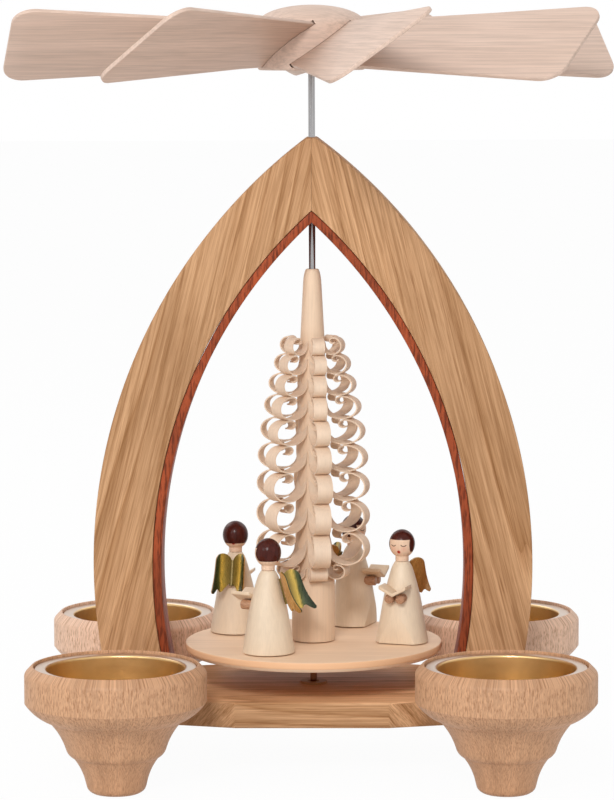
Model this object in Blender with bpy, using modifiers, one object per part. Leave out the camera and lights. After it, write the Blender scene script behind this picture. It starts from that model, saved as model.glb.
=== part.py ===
"""A table candle carousel: a pointed wooden arch on a base plate, four candle cups that are
its feet, and a bladed rotor whose shaft turns a small round stage with a tree of curled
shavings and four singing angels. Metres, +Z up, the spin axis on Z, the floor at z = 0."""

import math

import bmesh
import bpy
from mathutils import Matrix, Vector

# Gap left between pieces that touch or run in one another.
CLEARANCE = 0.0003

# Candle cups, which carry the object.
CUP_INSET = 0.00951
CUP_Y = 0.04757
CUP_HEIGHT = 0.0375
CUP_RADIUS = 0.0264
CUP_RIM_CHAMFER = 0.0022
CUP_LIP = 0.0005
CUP_BAND_HEIGHT = 0.0085
CUP_SHOULDER_RADIUS = 0.0195
CUP_SHOULDER_Z = 0.0214
CUP_SHOULDER_BULGE = 0.0007
CUP_COVE_SAG = 0.0006
CUP_BEAD_TOP_RADIUS = 0.0145
CUP_BEAD_TOP_Z = 0.0128
CUP_BEAD_BULGE = 0.0003
CUP_BEAD_BOTTOM_RADIUS = 0.0125
CUP_BEAD_BOTTOM_Z = 0.0106
CUP_NECK_SAG = 0.0005
CUP_NECK_RADIUS = 0.0089
CUP_NECK_Z = 0.0030
CUP_FOOT_RADIUS = 0.0084
CUP_FOOT_ROUND = 0.0012
CUP_STEPS = 24

# Brass tea light inserts.
INSERT_OPENING_RADIUS = 0.0200
INSERT_DEPTH = 0.0120
INSERT_SHEET = 0.0006
INSERT_FLANGE_RADIUS = 0.02345
INSERT_RECESS = 0.0008

# Base plate.
PLATE_TOP = 0.0233
PLATE_THICKNESS = 0.0076
PLATE_OVERHANG = 0.0047
PLATE_FRONT_HALF = 0.0226
PLATE_EDGE_ANGLE = math.radians(15)

# Pointed arch and its inner lining.
ARCH_DEPTH = 0.018
ARCH_STAGE_GAP = 0.00664
ARCH_WIDTH = 0.0203
ARCH_INNER_RADIUS = 0.1420
ARCH_INNER_Z = 0.0590
ARCH_RADIUS_STEP = 0.0170
ARCH_CENTRE_STEP = 0.0014
ARCH_FLAT_HALF = 0.00143
LINING_THICKNESS = 0.0026
LINING_RECESS = 0.0004
ARC_STEPS = 22

# Dowels.
DOWEL_RADIUS = 0.0025
DOWEL_REACH = 0.0065
LEG_DOWEL_RADIUS = 0.0030
LEG_DOWEL_REACH = 0.0055

# Shaft and its two bearings.
SHAFT_RADIUS = 0.0010
SHAFT_TIP_LENGTH = 0.0025
PIVOT_RADIUS = 0.0040
PIVOT_DEPTH = 0.0050
PIVOT_STAND = 0.0006
PIVOT_DIMPLE_DEPTH = 0.0025
PIVOT_DIMPLE_RADIUS = 0.0018
BUSH_RADIUS = 0.0024
BUSH_LENGTH = 0.0090
BUSH_BELOW_TOP = 0.0070

# Stage that turns.
STAGE_RADIUS = 0.03876
STAGE_TOP = 0.0363
STAGE_THICKNESS = 0.0031
STAGE_CHAMFER = 0.0012
STAGE_EDGE_ROUND = 0.0005
STAGE_STEPS = 48

# Tree of curled shavings.
TREE_TOP = 0.1488
SPIRE_TOP_RADIUS = 0.0022
SPIRE_ROUND = 0.0015
SPIRE_BASE_Z = 0.1286
SPIRE_BASE_RADIUS = 0.0036
TRUNK_LOW_RADIUS = 0.0054
TRUNK_FOOT_RADIUS = 0.0065
TRUNK_STEPS = 18
CURL_COLUMNS = 6
CURL_TURN = math.radians(-78)
CURL_TIERS = 9
CURL_FIRST_PITCH = 0.0052
CURL_PITCH_STEP = 0.0006
CURL_FIRST_REACH = 0.0094
CURL_FULL_REACH = 0.0169
CURL_FULL_TIER = 6.5
CURL_LAST_PITCH = 0.0045
CURL_LAST_REACH = 0.0105
CURL_THICKNESS = 0.0005
CURL_WIDTH_SHARE = 0.92
CURL_FILL = 0.95
CURL_ROOT_SHARE = 0.82
CURL_ROOT_RISE = 0.7
CURL_SPIRAL = 0.05
CURL_OPEN_ANGLE = math.radians(238)
CURL_END_ANGLE = math.radians(500)
CURL_TIGHTEN = 0.95
CURL_TIP_CURVE = 0.20
CURL_TIP_WIDTH = 0.55
CURL_STEPS = 10
CURL_FINE_STEPS = 12

# Rotor.
HUB_RADIUS = 0.0160
HUB_BOTTOM = 0.2080
HUB_SIDE_HEIGHT = 0.0136
HUB_DOME_HEIGHT = 0.0057
HUB_CHAMFER = 0.0009
HUB_BORE_DEPTH = 0.0125
HUB_STEPS = 40
HUB_DOME_STEPS = 5
BLADE_COUNT = 8
BLADE_TURN = math.radians(-76.3)
BLADE_TIP_RADIUS = 0.0908
BLADE_ROOT_CHORD = 0.0222
BLADE_TIP_CHORD = 0.0363
BLADE_TONGUE = 0.0055
BLADE_THICKNESS = 0.0012
BLADE_PITCH = math.radians(35)
BLADE_CORNER = 0.0070
BLADE_CORNER_STEPS = 5
BLADE_ABOVE_MIDDLE = 0.0009

# Angels, in their own frame: base at z = 0, looking along -Y.
FIGURES = (
    ("angel_back_left", 0.0284, math.radians(147.9), math.radians(81)),
    ("angel_front_left", 0.0252, math.radians(239), math.radians(152)),
    ("angel_back_right", 0.0308, math.radians(67), math.radians(-20)),
    ("angel_front_right", 0.0270, math.radians(-7.4), math.radians(-108)),
)
ROBE_HEIGHT = 0.0245
ROBE_BASE_RADIUS = 0.0079
ROBE_WAIST_RADIUS = 0.0055
ROBE_WAIST_Z = 0.0140
ROBE_SHOULDER_RADIUS = 0.0041
ROBE_SHOULDER_Z = 0.0193
ROBE_NECK_RADIUS = 0.0020
ROBE_COLLAR_WIDTH_SHARE = 0.5
ROBE_COLLAR_DROP_SHARE = 0.33
ROBE_FLAT_Y = 0.0056
ROBE_FLAT_LEAN = math.radians(7.0)
ROBE_STEPS = 18
HEAD_RADIUS = 0.0039
HEAD_HALF_HEIGHT = 0.0043
HEAD_ABOVE_ROBE = 0.0052
NECK_RADIUS = 0.0015
HEAD_STEPS = 16
HEAD_RINGS = 8
HAND_RADIUS = 0.0014
HAND_LENGTH = 0.0036
HAND_SPREAD = 0.0017
HAND_Z = 0.0139
HAND_STEPS = 12
BOOK_HALF_WIDTH = 0.0042
BOOK_LENGTH = 0.0062
BOOK_THICKNESS = 0.0009
BOOK_RISE = math.radians(28)
WING_HEIGHT = 0.0130
WING_WIDTH = 0.0082
WING_THICKNESS = 0.0008
WING_SPREAD = math.radians(39)
WING_LEAN = math.radians(16)
WING_SPINE_RADIUS = 0.0009
WING_SPINE_STEPS = 10

# Places on a wing, as shares of its width out from the back and of its height down from its top.
WING_CROWN_OUT = 0.38
WING_CROWN_RADIUS = 0.34
WING_CROWN_STEPS = 6
WING_WAIST = (0.80, 0.60)
WING_LONG_TIP = (1.0, 0.96)
WING_LONG_END = (0.88, 1.0)
WING_NOTCH = (0.62, 0.86)
WING_SHORT_TIP = (0.46, 0.92)
WING_HEM = (0.20, 0.74)
WING_ROOT_TOP = 0.30
WING_ROOT_BOTTOM = 0.62
WING_SPINE_TOP = 0.06
WING_SPINE_BOTTOM = 0.72

# Heights on an angel that follow from its robe.
HEAD_Z = ROBE_HEIGHT + HEAD_ABOVE_ROBE
WING_TOP_Z = ROBE_HEIGHT

# The arch's curves, which follow from the stage that turns inside it.
ARCH_INNER_HALF = STAGE_RADIUS + ARCH_STAGE_GAP
ARCH_INNER_OFFSET = ARCH_INNER_RADIUS - ARCH_INNER_HALF
ARCH_OUTER_RADIUS = ARCH_INNER_RADIUS + ARCH_RADIUS_STEP
ARCH_OUTER_OFFSET = ARCH_OUTER_RADIUS - ARCH_INNER_HALF - ARCH_WIDTH
ARCH_OUTER_Z = ARCH_INNER_Z + ARCH_CENTRE_STEP
ARCH_TOP_HALF = ARCH_OUTER_OFFSET + ARCH_FLAT_HALF
ARCH_TOP = ARCH_OUTER_Z + math.sqrt(ARCH_OUTER_RADIUS**2 - ARCH_TOP_HALF**2)

# The plate reaches past the arch's legs, and the cups stand in from its ends.
LEG_DROP = ARCH_OUTER_Z - PLATE_TOP
LEG_OUTER = math.sqrt(ARCH_OUTER_RADIUS**2 - LEG_DROP**2) - ARCH_OUTER_OFFSET
PLATE_HALF_LENGTH = LEG_OUTER + PLATE_OVERHANG
CUP_X = PLATE_HALF_LENGTH - CUP_INSET

# Colour, roughness and metallic value of each finish.
FINISHES = {
    "ash": ((0.56, 0.34, 0.17), 0.45, 0.0),
    "red_wood": ((0.30, 0.09, 0.035), 0.5, 0.0),
    "beech": ((0.62, 0.37, 0.22), 0.5, 0.0),
    "linden": ((0.72, 0.50, 0.33), 0.55, 0.0),
    "brass": ((0.62, 0.42, 0.14), 0.35, 1.0),
    "steel": ((0.60, 0.58, 0.57), 0.2, 1.0),
    "glass": ((0.80, 0.84, 0.84), 0.1, 0.0),
    "cream_paint": ((0.80, 0.66, 0.46), 0.5, 0.0),
    "skin": ((0.78, 0.54, 0.38), 0.5, 0.0),
    "gold_paint": ((0.32, 0.22, 0.05), 0.35, 0.6),
    "paper": ((0.83, 0.68, 0.50), 0.6, 0.0),
    "hand_wood": ((0.42, 0.20, 0.10), 0.5, 0.0),
}

PARTS_NAME = "candle_carousel"
CUTTERS_NAME = "cutters"


def clear_scene():
    for obj in list(bpy.data.objects):
        bpy.data.objects.remove(obj)


def new_collection(name):
    collection = bpy.data.collections.new(name)
    bpy.context.scene.collection.children.link(collection)
    return collection


def finish(name):
    """The Principled material of a finish, made once."""
    material = bpy.data.materials.get(name)
    if material:
        return material
    colour, roughness, metallic = FINISHES[name]
    material = bpy.data.materials.new(name)
    material.use_nodes = True
    shader = material.node_tree.nodes["Principled BSDF"]
    shader.inputs["Base Color"].default_value = (*colour, 1.0)
    shader.inputs["Roughness"].default_value = roughness
    shader.inputs["Metallic"].default_value = metallic
    return material


def add_object(name, mesh, finish_name, parent=None):
    """A part with its own mesh, in the parts collection."""
    obj = bpy.data.objects.new(name, mesh)
    bpy.data.collections[PARTS_NAME].objects.link(obj)
    mesh.materials.clear()
    mesh.materials.append(finish(finish_name))
    obj.parent = parent
    return obj


def add_empty(name, parent=None):
    obj = bpy.data.objects.new(name, None)
    bpy.data.collections[PARTS_NAME].objects.link(obj)
    obj.parent = parent
    return obj


def add_cutter(name, mesh, parent=None):
    obj = bpy.data.objects.new(name, mesh)
    bpy.data.collections[CUTTERS_NAME].objects.link(obj)
    obj.hide_render = True
    obj.display_type = "WIRE"
    obj.parent = parent
    return obj


def smooth(mesh, angle=math.radians(35)):
    mesh.shade_smooth()
    mesh.set_sharp_from_angle(angle=angle)


def cylinder_mesh(name, radius, length, segments=16):
    """A solid cylinder about Z, from z = 0 to its length."""
    shape = bmesh.new()
    bmesh.ops.create_cone(
        shape,
        cap_ends=True,
        segments=segments,
        radius1=radius,
        radius2=radius,
        depth=length,
        matrix=Matrix.Translation((0, 0, length / 2)),
    )
    mesh = bpy.data.meshes.new(name)
    shape.to_mesh(mesh)
    shape.free()
    smooth(mesh)
    return mesh


def box_mesh(name, size, centre=(0, 0, 0)):
    shape = bmesh.new()
    bmesh.ops.create_cube(shape, size=1.0)
    bmesh.ops.scale(shape, vec=size, verts=shape.verts)
    bmesh.ops.translate(shape, vec=centre, verts=shape.verts)
    mesh = bpy.data.meshes.new(name)
    shape.to_mesh(mesh)
    shape.free()
    return mesh


def turned_mesh(name, profile, closed=False):
    """The profile of a turned piece: (radius, height) points, down its outer side."""
    points = [(radius, 0.0, height) for radius, height in profile]
    edges = [(i, i + 1) for i in range(len(points) - 1)]
    if closed:
        edges.append((len(points) - 1, 0))
    mesh = bpy.data.meshes.new(name)
    mesh.from_pydata(points, edges, [])
    return mesh


def turn(obj, steps):
    """Turns an object's profile about its own Z axis."""
    screw = obj.modifiers.new("turned", "SCREW")
    screw.axis = "Z"
    screw.angle = math.tau
    screw.steps = steps
    screw.render_steps = steps
    screw.use_merge_vertices = True
    screw.merge_threshold = 0.00001
    screw.use_smooth_shade = True


def boolean(obj, other, operation):
    modifier = obj.modifiers.new(other.name, "BOOLEAN")
    modifier.operation = operation
    modifier.solver = "EXACT"
    modifier.object = other


def outline_mesh(name, outline, thickness):
    """A flat piece as a welded mesh: a closed 2D curve in XY with filled faces, as thick in Z."""
    curve = bpy.data.curves.new(name, "CURVE")
    curve.dimensions = "2D"
    curve.fill_mode = "BOTH"
    curve.extrude = thickness / 2
    spline = curve.splines.new("POLY")
    spline.points.add(len(outline) - 1)
    for point, (x, y) in zip(spline.points, outline):
        point.co = (x, y, 0.0, 1.0)
    spline.use_cyclic_u = True
    holder = bpy.data.objects.new(name, curve)
    bpy.context.scene.collection.objects.link(holder)
    bpy.context.view_layer.update()
    graph = bpy.context.evaluated_depsgraph_get()
    mesh = bpy.data.meshes.new_from_object(holder.evaluated_get(graph))
    bpy.data.objects.remove(holder)
    shape = bmesh.new()
    shape.from_mesh(mesh)
    bmesh.ops.remove_doubles(shape, verts=shape.verts, dist=0.000001)
    bmesh.ops.recalc_face_normals(shape, faces=shape.faces)
    shape.to_mesh(mesh)
    shape.free()
    return mesh


def arc(centre, radius, start, end, steps):
    """Points of an arc about centre, from one angle to the other, both included."""
    angles = [start + (end - start) * i / steps for i in range(steps + 1)]
    return [
        (centre[0] + radius * math.cos(a), centre[1] + radius * math.sin(a)) for a in angles
    ]


def bow(start, end, sag, steps):
    """Points from start to end on a shallow arc that bulges to its right by sag."""
    ahead = Vector(end) - Vector(start)
    side = Vector((ahead.y, -ahead.x)).normalized()
    points = []
    for i in range(steps + 1):
        share = i / steps
        bulge = 4 * share * (1 - share) * sag
        points.append(tuple(Vector(start) + ahead * share + side * bulge))
    return points


def along(start, end):
    """The rotation and place of a piece whose own Z runs from start towards end."""
    direction = Vector(end) - Vector(start)
    return Matrix.Translation(start) @ direction.to_track_quat("Z", "Y").to_matrix().to_4x4()


# Candle cups, inserts, base plate.


def insert_flange_top():
    return CUP_HEIGHT - INSERT_RECESS


def insert_floor():
    """Height of the floor that a tea light stands on."""
    return insert_flange_top() - INSERT_DEPTH


def cup_outside():
    """The cup's outer profile, from the rim down to the foot."""
    band_top = CUP_HEIGHT - CUP_RIM_CHAMFER
    band_bottom = band_top - CUP_BAND_HEIGHT
    shoulder = (CUP_SHOULDER_RADIUS, CUP_SHOULDER_Z)
    bead_top = (CUP_BEAD_TOP_RADIUS, CUP_BEAD_TOP_Z)
    bead_bottom = (CUP_BEAD_BOTTOM_RADIUS, CUP_BEAD_BOTTOM_Z)
    neck = (CUP_NECK_RADIUS, CUP_NECK_Z)
    lip_radius = INSERT_FLANGE_RADIUS + CLEARANCE + CUP_LIP
    points = [(lip_radius, CUP_HEIGHT), (CUP_RADIUS, band_top)]
    points += bow((CUP_RADIUS, band_bottom), shoulder, -CUP_SHOULDER_BULGE, 3)
    points += bow(shoulder, bead_top, CUP_COVE_SAG, 3)[1:]
    points += bow(bead_top, bead_bottom, -CUP_BEAD_BULGE, 2)[1:]
    points += bow(bead_bottom, neck, CUP_NECK_SAG, 2)[1:]
    points += [
        (CUP_FOOT_RADIUS, CUP_FOOT_ROUND),
        (CUP_FOOT_RADIUS - CUP_FOOT_ROUND, 0.0),
    ]
    return points


def cup_radius_at(height):
    """The cup's outer radius at a height."""
    points = cup_outside()
    for upper, lower in zip(points, points[1:]):
        if lower[1] <= height <= upper[1] and upper[1] > lower[1]:
            share = (height - lower[1]) / (upper[1] - lower[1])
            return lower[0] + share * (upper[0] - lower[0])
    return CUP_RADIUS


def edge_normal(side_x, side_y):
    """Unit vector out of the plate's slanting edge on one corner, towards its cup."""
    return Vector(
        (side_x * math.sin(PLATE_EDGE_ANGLE), side_y * math.cos(PLATE_EDGE_ANGLE), 0.0)
    )


def cup_centre(side_x, side_y):
    return Vector((side_x * CUP_X, side_y * CUP_Y, 0.0))


def edge_foot(side_x, side_y):
    """The point of the plate's edge that is nearest to a cup's axis."""
    bottom = PLATE_TOP - PLATE_THICKNESS
    reach = max(cup_radius_at(PLATE_TOP), cup_radius_at(bottom)) + CLEARANCE
    return cup_centre(side_x, side_y) - edge_normal(side_x, side_y) * reach


def plate_half_depth(x):
    """Half the plate's depth at a distance x from the middle, beyond the straight front."""
    foot = edge_foot(1, 1)
    return foot.y - (x - foot.x) * math.tan(PLATE_EDGE_ANGLE)


def dowel_height():
    return PLATE_TOP - PLATE_THICKNESS / 2


def dowel_ends(side_x, side_y):
    """The cup dowel's two ends, in the plate and in the cup."""
    foot = edge_foot(side_x, side_y)
    normal = edge_normal(side_x, side_y)
    wall = cup_centre(side_x, side_y) - normal * cup_radius_at(dowel_height())
    raise_it = Vector((0, 0, dowel_height()))
    return foot - normal * DOWEL_REACH + raise_it, wall + normal * DOWEL_REACH + raise_it


def cut_dowel_hole(obj, start, end, radius):
    """A hole round a dowel, a clearance wider and longer than it, at the part's own place."""
    ahead = (Vector(end) - Vector(start)).normalized()
    start = Vector(start) - ahead * CLEARANCE
    end = Vector(end) + ahead * CLEARANCE
    mesh = cylinder_mesh(obj.name + "_hole", radius + CLEARANCE, (end - start).length)
    cutter = add_cutter(obj.name + "_hole", mesh)
    cutter.matrix_world = along(start, end)
    boolean(obj, cutter, "DIFFERENCE")


def make_cup(name, side_x, side_y):
    pocket_radius = INSERT_OPENING_RADIUS + INSERT_SHEET + CLEARANCE
    pocket_floor = insert_floor() - INSERT_SHEET - CLEARANCE
    rebate_radius = INSERT_FLANGE_RADIUS + CLEARANCE
    rebate = insert_flange_top() - INSERT_SHEET - CLEARANCE
    profile = [
        (0.0, pocket_floor),
        (pocket_radius, pocket_floor),
        (pocket_radius, rebate),
        (rebate_radius, rebate),
        (rebate_radius, CUP_HEIGHT),
    ]
    profile += cup_outside() + [(0.0, 0.0)]
    cup = add_object(name, turned_mesh(name, profile), "beech")
    cup.location = cup_centre(side_x, side_y)
    turn(cup, CUP_STEPS)
    start, end = dowel_ends(side_x, side_y)
    cut_dowel_hole(cup, start, end, DOWEL_RADIUS)


def make_insert(name, side_x, side_y):
    outer = INSERT_OPENING_RADIUS + INSERT_SHEET
    top = insert_flange_top()
    floor = insert_floor()
    profile = [
        (0.0, floor),
        (INSERT_OPENING_RADIUS, floor),
        (INSERT_OPENING_RADIUS, top),
        (INSERT_FLANGE_RADIUS, top),
        (INSERT_FLANGE_RADIUS, top - INSERT_SHEET),
        (outer, top - INSERT_SHEET),
        (outer, floor - INSERT_SHEET),
        (0.0, floor - INSERT_SHEET),
    ]
    insert = add_object(name, turned_mesh(name, profile), "brass")
    insert.location = cup_centre(side_x, side_y)
    turn(insert, CUP_STEPS)


def make_cup_dowel(name, side_x, side_y):
    start, end = dowel_ends(side_x, side_y)
    mesh = cylinder_mesh(name, DOWEL_RADIUS, (end - start).length)
    dowel = add_object(name, mesh, "beech")
    dowel.matrix_world = along(start, end)


def make_plate():
    """The base plate: straight in front and behind, with four slanting edges for the cups."""
    front = plate_half_depth(PLATE_FRONT_HALF)
    end = plate_half_depth(PLATE_HALF_LENGTH)
    quarter = [(PLATE_FRONT_HALF, front), (PLATE_HALF_LENGTH, end)]
    half = quarter + [(x, -y) for x, y in reversed(quarter)]
    outline = half + [(-x, y) for x, y in reversed(half)]
    mesh = outline_mesh("base_plate", outline, PLATE_THICKNESS)
    plate = add_object("base_plate", mesh, "ash")
    plate.location.z = PLATE_TOP - PLATE_THICKNESS / 2
    pocket = add_cutter(
        "pivot_pocket",
        cylinder_mesh("pivot_pocket", PIVOT_RADIUS + CLEARANCE, PLATE_THICKNESS, 24),
    )
    pocket.location.z = PLATE_TOP - PIVOT_DEPTH
    boolean(plate, pocket, "DIFFERENCE")
    for side_x in (-1, 1):
        start, top = leg_dowel_ends(side_x)
        cut_dowel_hole(plate, start, top, LEG_DOWEL_RADIUS)
        for side_y in (-1, 1):
            start, end = dowel_ends(side_x, side_y)
            cut_dowel_hole(plate, start, end, DOWEL_RADIUS)


# Arch.


def inner_arc(radius, low, steps):
    """Points of the arch's inner curve, from a height at the leg up to the middle plane."""
    centre = (-ARCH_INNER_OFFSET, ARCH_INNER_Z)
    first = math.asin((low - ARCH_INNER_Z) / radius)
    last = math.acos((ARCH_INNER_OFFSET + CLEARANCE / 2) / radius)
    return arc(centre, radius, first, last, steps)


def arch_outline():
    """The right half in XZ: up the outer curve, over the flat top, down the inner curve."""
    low = PLATE_TOP + CLEARANCE
    centre = (-ARCH_OUTER_OFFSET, ARCH_OUTER_Z)
    first = math.asin((low - ARCH_OUTER_Z) / ARCH_OUTER_RADIUS)
    last = math.asin((ARCH_TOP - ARCH_OUTER_Z) / ARCH_OUTER_RADIUS)
    outer = arc(centre, ARCH_OUTER_RADIUS, first, last, ARC_STEPS)
    inner = inner_arc(ARCH_INNER_RADIUS + LINING_THICKNESS, low, ARC_STEPS)
    return outer + [(CLEARANCE / 2, ARCH_TOP)] + inner[::-1]


def lining_outline():
    low = PLATE_TOP + CLEARANCE
    outer = inner_arc(ARCH_INNER_RADIUS + LINING_THICKNESS - CLEARANCE, low, ARC_STEPS)
    inner = inner_arc(ARCH_INNER_RADIUS, low, ARC_STEPS)
    return outer + inner[::-1]


def leg_middle():
    """Distance of a leg's middle from the axis, where it meets the plate."""
    inner = inner_arc(ARCH_INNER_RADIUS + LINING_THICKNESS, PLATE_TOP, 1)[0][0]
    return (LEG_OUTER + inner) / 2


def leg_dowel_ends(side):
    x = side * leg_middle()
    return (x, 0.0, PLATE_TOP - LEG_DOWEL_REACH), (x, 0.0, PLATE_TOP + LEG_DOWEL_REACH)


def stand_up(obj, side):
    """Turns a piece drawn in XY upright into XZ, on one side of the middle plane."""
    obj.rotation_euler = (math.radians(90), 0.0, 0.0 if side > 0 else math.radians(180))


def shaft_hole_cutter():
    length = ARCH_TOP - PLATE_TOP
    mesh = cylinder_mesh("shaft_hole", SHAFT_RADIUS + CLEARANCE, length, 16)
    cutter = add_cutter("shaft_hole", mesh)
    cutter.location.z = ARCH_TOP - length / 2
    return cutter


def bush_bottom():
    return ARCH_TOP - BUSH_BELOW_TOP - BUSH_LENGTH


def bush_pocket_cutter():
    length = BUSH_LENGTH + 2 * CLEARANCE
    mesh = cylinder_mesh("bush_pocket", BUSH_RADIUS + CLEARANCE, length, 16)
    cutter = add_cutter("bush_pocket", mesh)
    cutter.location.z = bush_bottom() - CLEARANCE
    return cutter


def make_arch():
    hole = shaft_hole_cutter()
    pocket = bush_pocket_cutter()
    for side, word in ((-1, "left"), (1, "right")):
        name = "arch_" + word
        half = add_object(name, outline_mesh(name, arch_outline(), ARCH_DEPTH), "ash")
        stand_up(half, side)
        boolean(half, hole, "DIFFERENCE")
        boolean(half, pocket, "DIFFERENCE")
        start, end = leg_dowel_ends(side)
        cut_dowel_hole(half, start, end, LEG_DOWEL_RADIUS)
        name = "lining_" + word
        depth = ARCH_DEPTH - 2 * LINING_RECESS
        lining = add_object(name, outline_mesh(name, lining_outline(), depth), "red_wood")
        stand_up(lining, side)
        boolean(lining, hole, "DIFFERENCE")
        name = "leg_dowel_" + word
        mesh = cylinder_mesh(name, LEG_DOWEL_RADIUS, 2 * LEG_DOWEL_REACH)
        add_object(name, mesh, "beech").location = start


def make_bearings():
    inner = SHAFT_RADIUS + CLEARANCE
    low = bush_bottom()
    high = low + BUSH_LENGTH
    profile = [(BUSH_RADIUS, high), (BUSH_RADIUS, low), (inner, low), (inner, high)]
    bush = add_object("guide_bush", turned_mesh("guide_bush", profile, closed=True), "brass")
    turn(bush, 16)
    top = PLATE_TOP + PIVOT_STAND
    profile = [
        (0.0, top - PIVOT_DIMPLE_DEPTH),
        (PIVOT_DIMPLE_RADIUS, top),
        (PIVOT_RADIUS, top),
        (PIVOT_RADIUS, PLATE_TOP - PIVOT_DEPTH + CLEARANCE),
        (0.0, PLATE_TOP - PIVOT_DEPTH + CLEARANCE),
    ]
    pivot = add_object("pivot_bearing", turned_mesh("pivot_bearing", profile), "glass")
    turn(pivot, 24)


# Shaft, stage and tree.


def make_shaft(spindle):
    tip = PLATE_TOP + PIVOT_STAND - PIVOT_DIMPLE_DEPTH + CLEARANCE
    top = HUB_BOTTOM + HUB_BORE_DEPTH - CLEARANCE
    profile = [
        (0.0, top),
        (SHAFT_RADIUS, top),
        (SHAFT_RADIUS, tip + SHAFT_TIP_LENGTH),
        (0.0, tip),
    ]
    shaft = add_object("shaft", turned_mesh("shaft", profile), "steel", spindle)
    turn(shaft, 12)


def make_stage(spindle):
    bore = SHAFT_RADIUS + CLEARANCE
    bottom = STAGE_TOP - STAGE_THICKNESS
    profile = [
        (bore, STAGE_TOP),
        (STAGE_RADIUS - STAGE_EDGE_ROUND, STAGE_TOP),
        (STAGE_RADIUS, STAGE_TOP - STAGE_EDGE_ROUND),
        (STAGE_RADIUS, bottom + STAGE_CHAMFER),
        (STAGE_RADIUS - STAGE_CHAMFER, bottom),
        (bore, bottom),
    ]
    stage = add_object("stage", turned_mesh("stage", profile, closed=True), "linden", spindle)
    turn(stage, STAGE_STEPS)


def tier_pitch(tier):
    if tier == CURL_TIERS:
        return CURL_LAST_PITCH
    return CURL_FIRST_PITCH + CURL_PITCH_STEP * tier


def tier_bottom(tier):
    return SPIRE_BASE_Z - sum(tier_pitch(i) for i in range(tier + 1))


def tier_reach(tier):
    """How far from the axis a tier's curls stand out."""
    if tier == CURL_TIERS:
        return CURL_LAST_REACH
    share = math.sin(math.pi / 2 * min(1.0, tier / CURL_FULL_TIER))
    return CURL_FIRST_REACH + (CURL_FULL_REACH - CURL_FIRST_REACH) * share


def trunk_radius(height):
    """The trunk's radius among the curls, between the spire and the foot."""
    low = tier_bottom(CURL_TIERS)
    share = (SPIRE_BASE_Z - height) / (SPIRE_BASE_Z - low)
    return SPIRE_BASE_RADIUS + (TRUNK_LOW_RADIUS - SPIRE_BASE_RADIUS) * share


def unit_curl():
    """A shaving's line before it is sized: down the trunk, out, up and over, then hooked in."""
    count = CURL_STEPS * CURL_FINE_STEPS
    points = [Vector((0.0, 0.0))]
    for i in range(count):
        angle = CURL_END_ANGLE * (i + 0.5) / count
        past = max(0.0, angle - CURL_OPEN_ANGLE)
        hook = CURL_TIP_CURVE + (1 - CURL_TIP_CURVE) * math.exp(-CURL_TIGHTEN * past)
        step = hook * math.exp(-CURL_SPIRAL * angle) * CURL_END_ANGLE / count
        points.append(points[-1] + Vector((math.sin(angle), -math.cos(angle))) * step)
    return points[::CURL_FINE_STEPS]


def curl_path(tier):
    """A shaving's centre line as (radius, height), sized to fill its tier."""
    unit = unit_curl()
    bottom = tier_bottom(tier)
    trunk = trunk_radius(bottom + tier_pitch(tier) * CURL_FILL)
    lowest = min(point.y for point in unit)
    highest = max(point.y for point in unit)
    wide = (tier_reach(tier) - trunk) / max(point.x for point in unit)
    high = (tier_pitch(tier) * CURL_FILL - CURL_THICKNESS) / (highest - lowest)
    line = []
    for point in unit:
        height = bottom + (point.y - lowest) * high + CURL_THICKNESS / 2
        line.append((trunk + point.x * wide, height))
    return [(trunk * CURL_ROOT_SHARE, line[0][1] + CURL_ROOT_RISE * high)] + line


def add_ribbon(shape, path, width, turn_angle):
    """A closed ribbon along a path in a plane through the axis, narrower from its top on."""
    spin = Matrix.Rotation(turn_angle, 4, "Z")
    rows = []
    for i, (radius, height) in enumerate(path):
        before = path[max(i - 1, 0)]
        after = path[min(i + 1, len(path) - 1)]
        ahead = Vector((after[0] - before[0], after[1] - before[1])).normalized()
        side = Vector((-ahead.y, ahead.x)) * CURL_THICKNESS / 2
        late = max(0.0, 2 * i / (len(path) - 1) - 1)
        half = width / 2 * (1 - (1 - CURL_TIP_WIDTH) * late)
        corners = []
        for sign, across in ((1, -1), (1, 1), (-1, 1), (-1, -1)):
            point = (radius + sign * side.x, across * half, height + sign * side.y)
            corners.append(shape.verts.new(spin @ Vector(point)))
        rows.append(corners)
    for first, second in zip(rows, rows[1:]):
        for i in range(4):
            j = (i + 1) % 4
            shape.faces.new((first[i], first[j], second[j], second[i]))
    shape.faces.new(rows[0][::-1])
    shape.faces.new(rows[-1])


def make_curls():
    """All the shavings, as the shape that is joined to the trunk."""
    shape = bmesh.new()
    for tier in range(CURL_TIERS + 1):
        width = trunk_radius(tier_bottom(tier)) * CURL_WIDTH_SHARE
        path = curl_path(tier)
        for column in range(CURL_COLUMNS):
            add_ribbon(shape, path, width, CURL_TURN + math.tau * column / CURL_COLUMNS)
    bmesh.ops.recalc_face_normals(shape, faces=shape.faces)
    mesh = bpy.data.meshes.new("curls")
    shape.to_mesh(mesh)
    shape.free()
    return add_cutter("curls", mesh)


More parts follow.
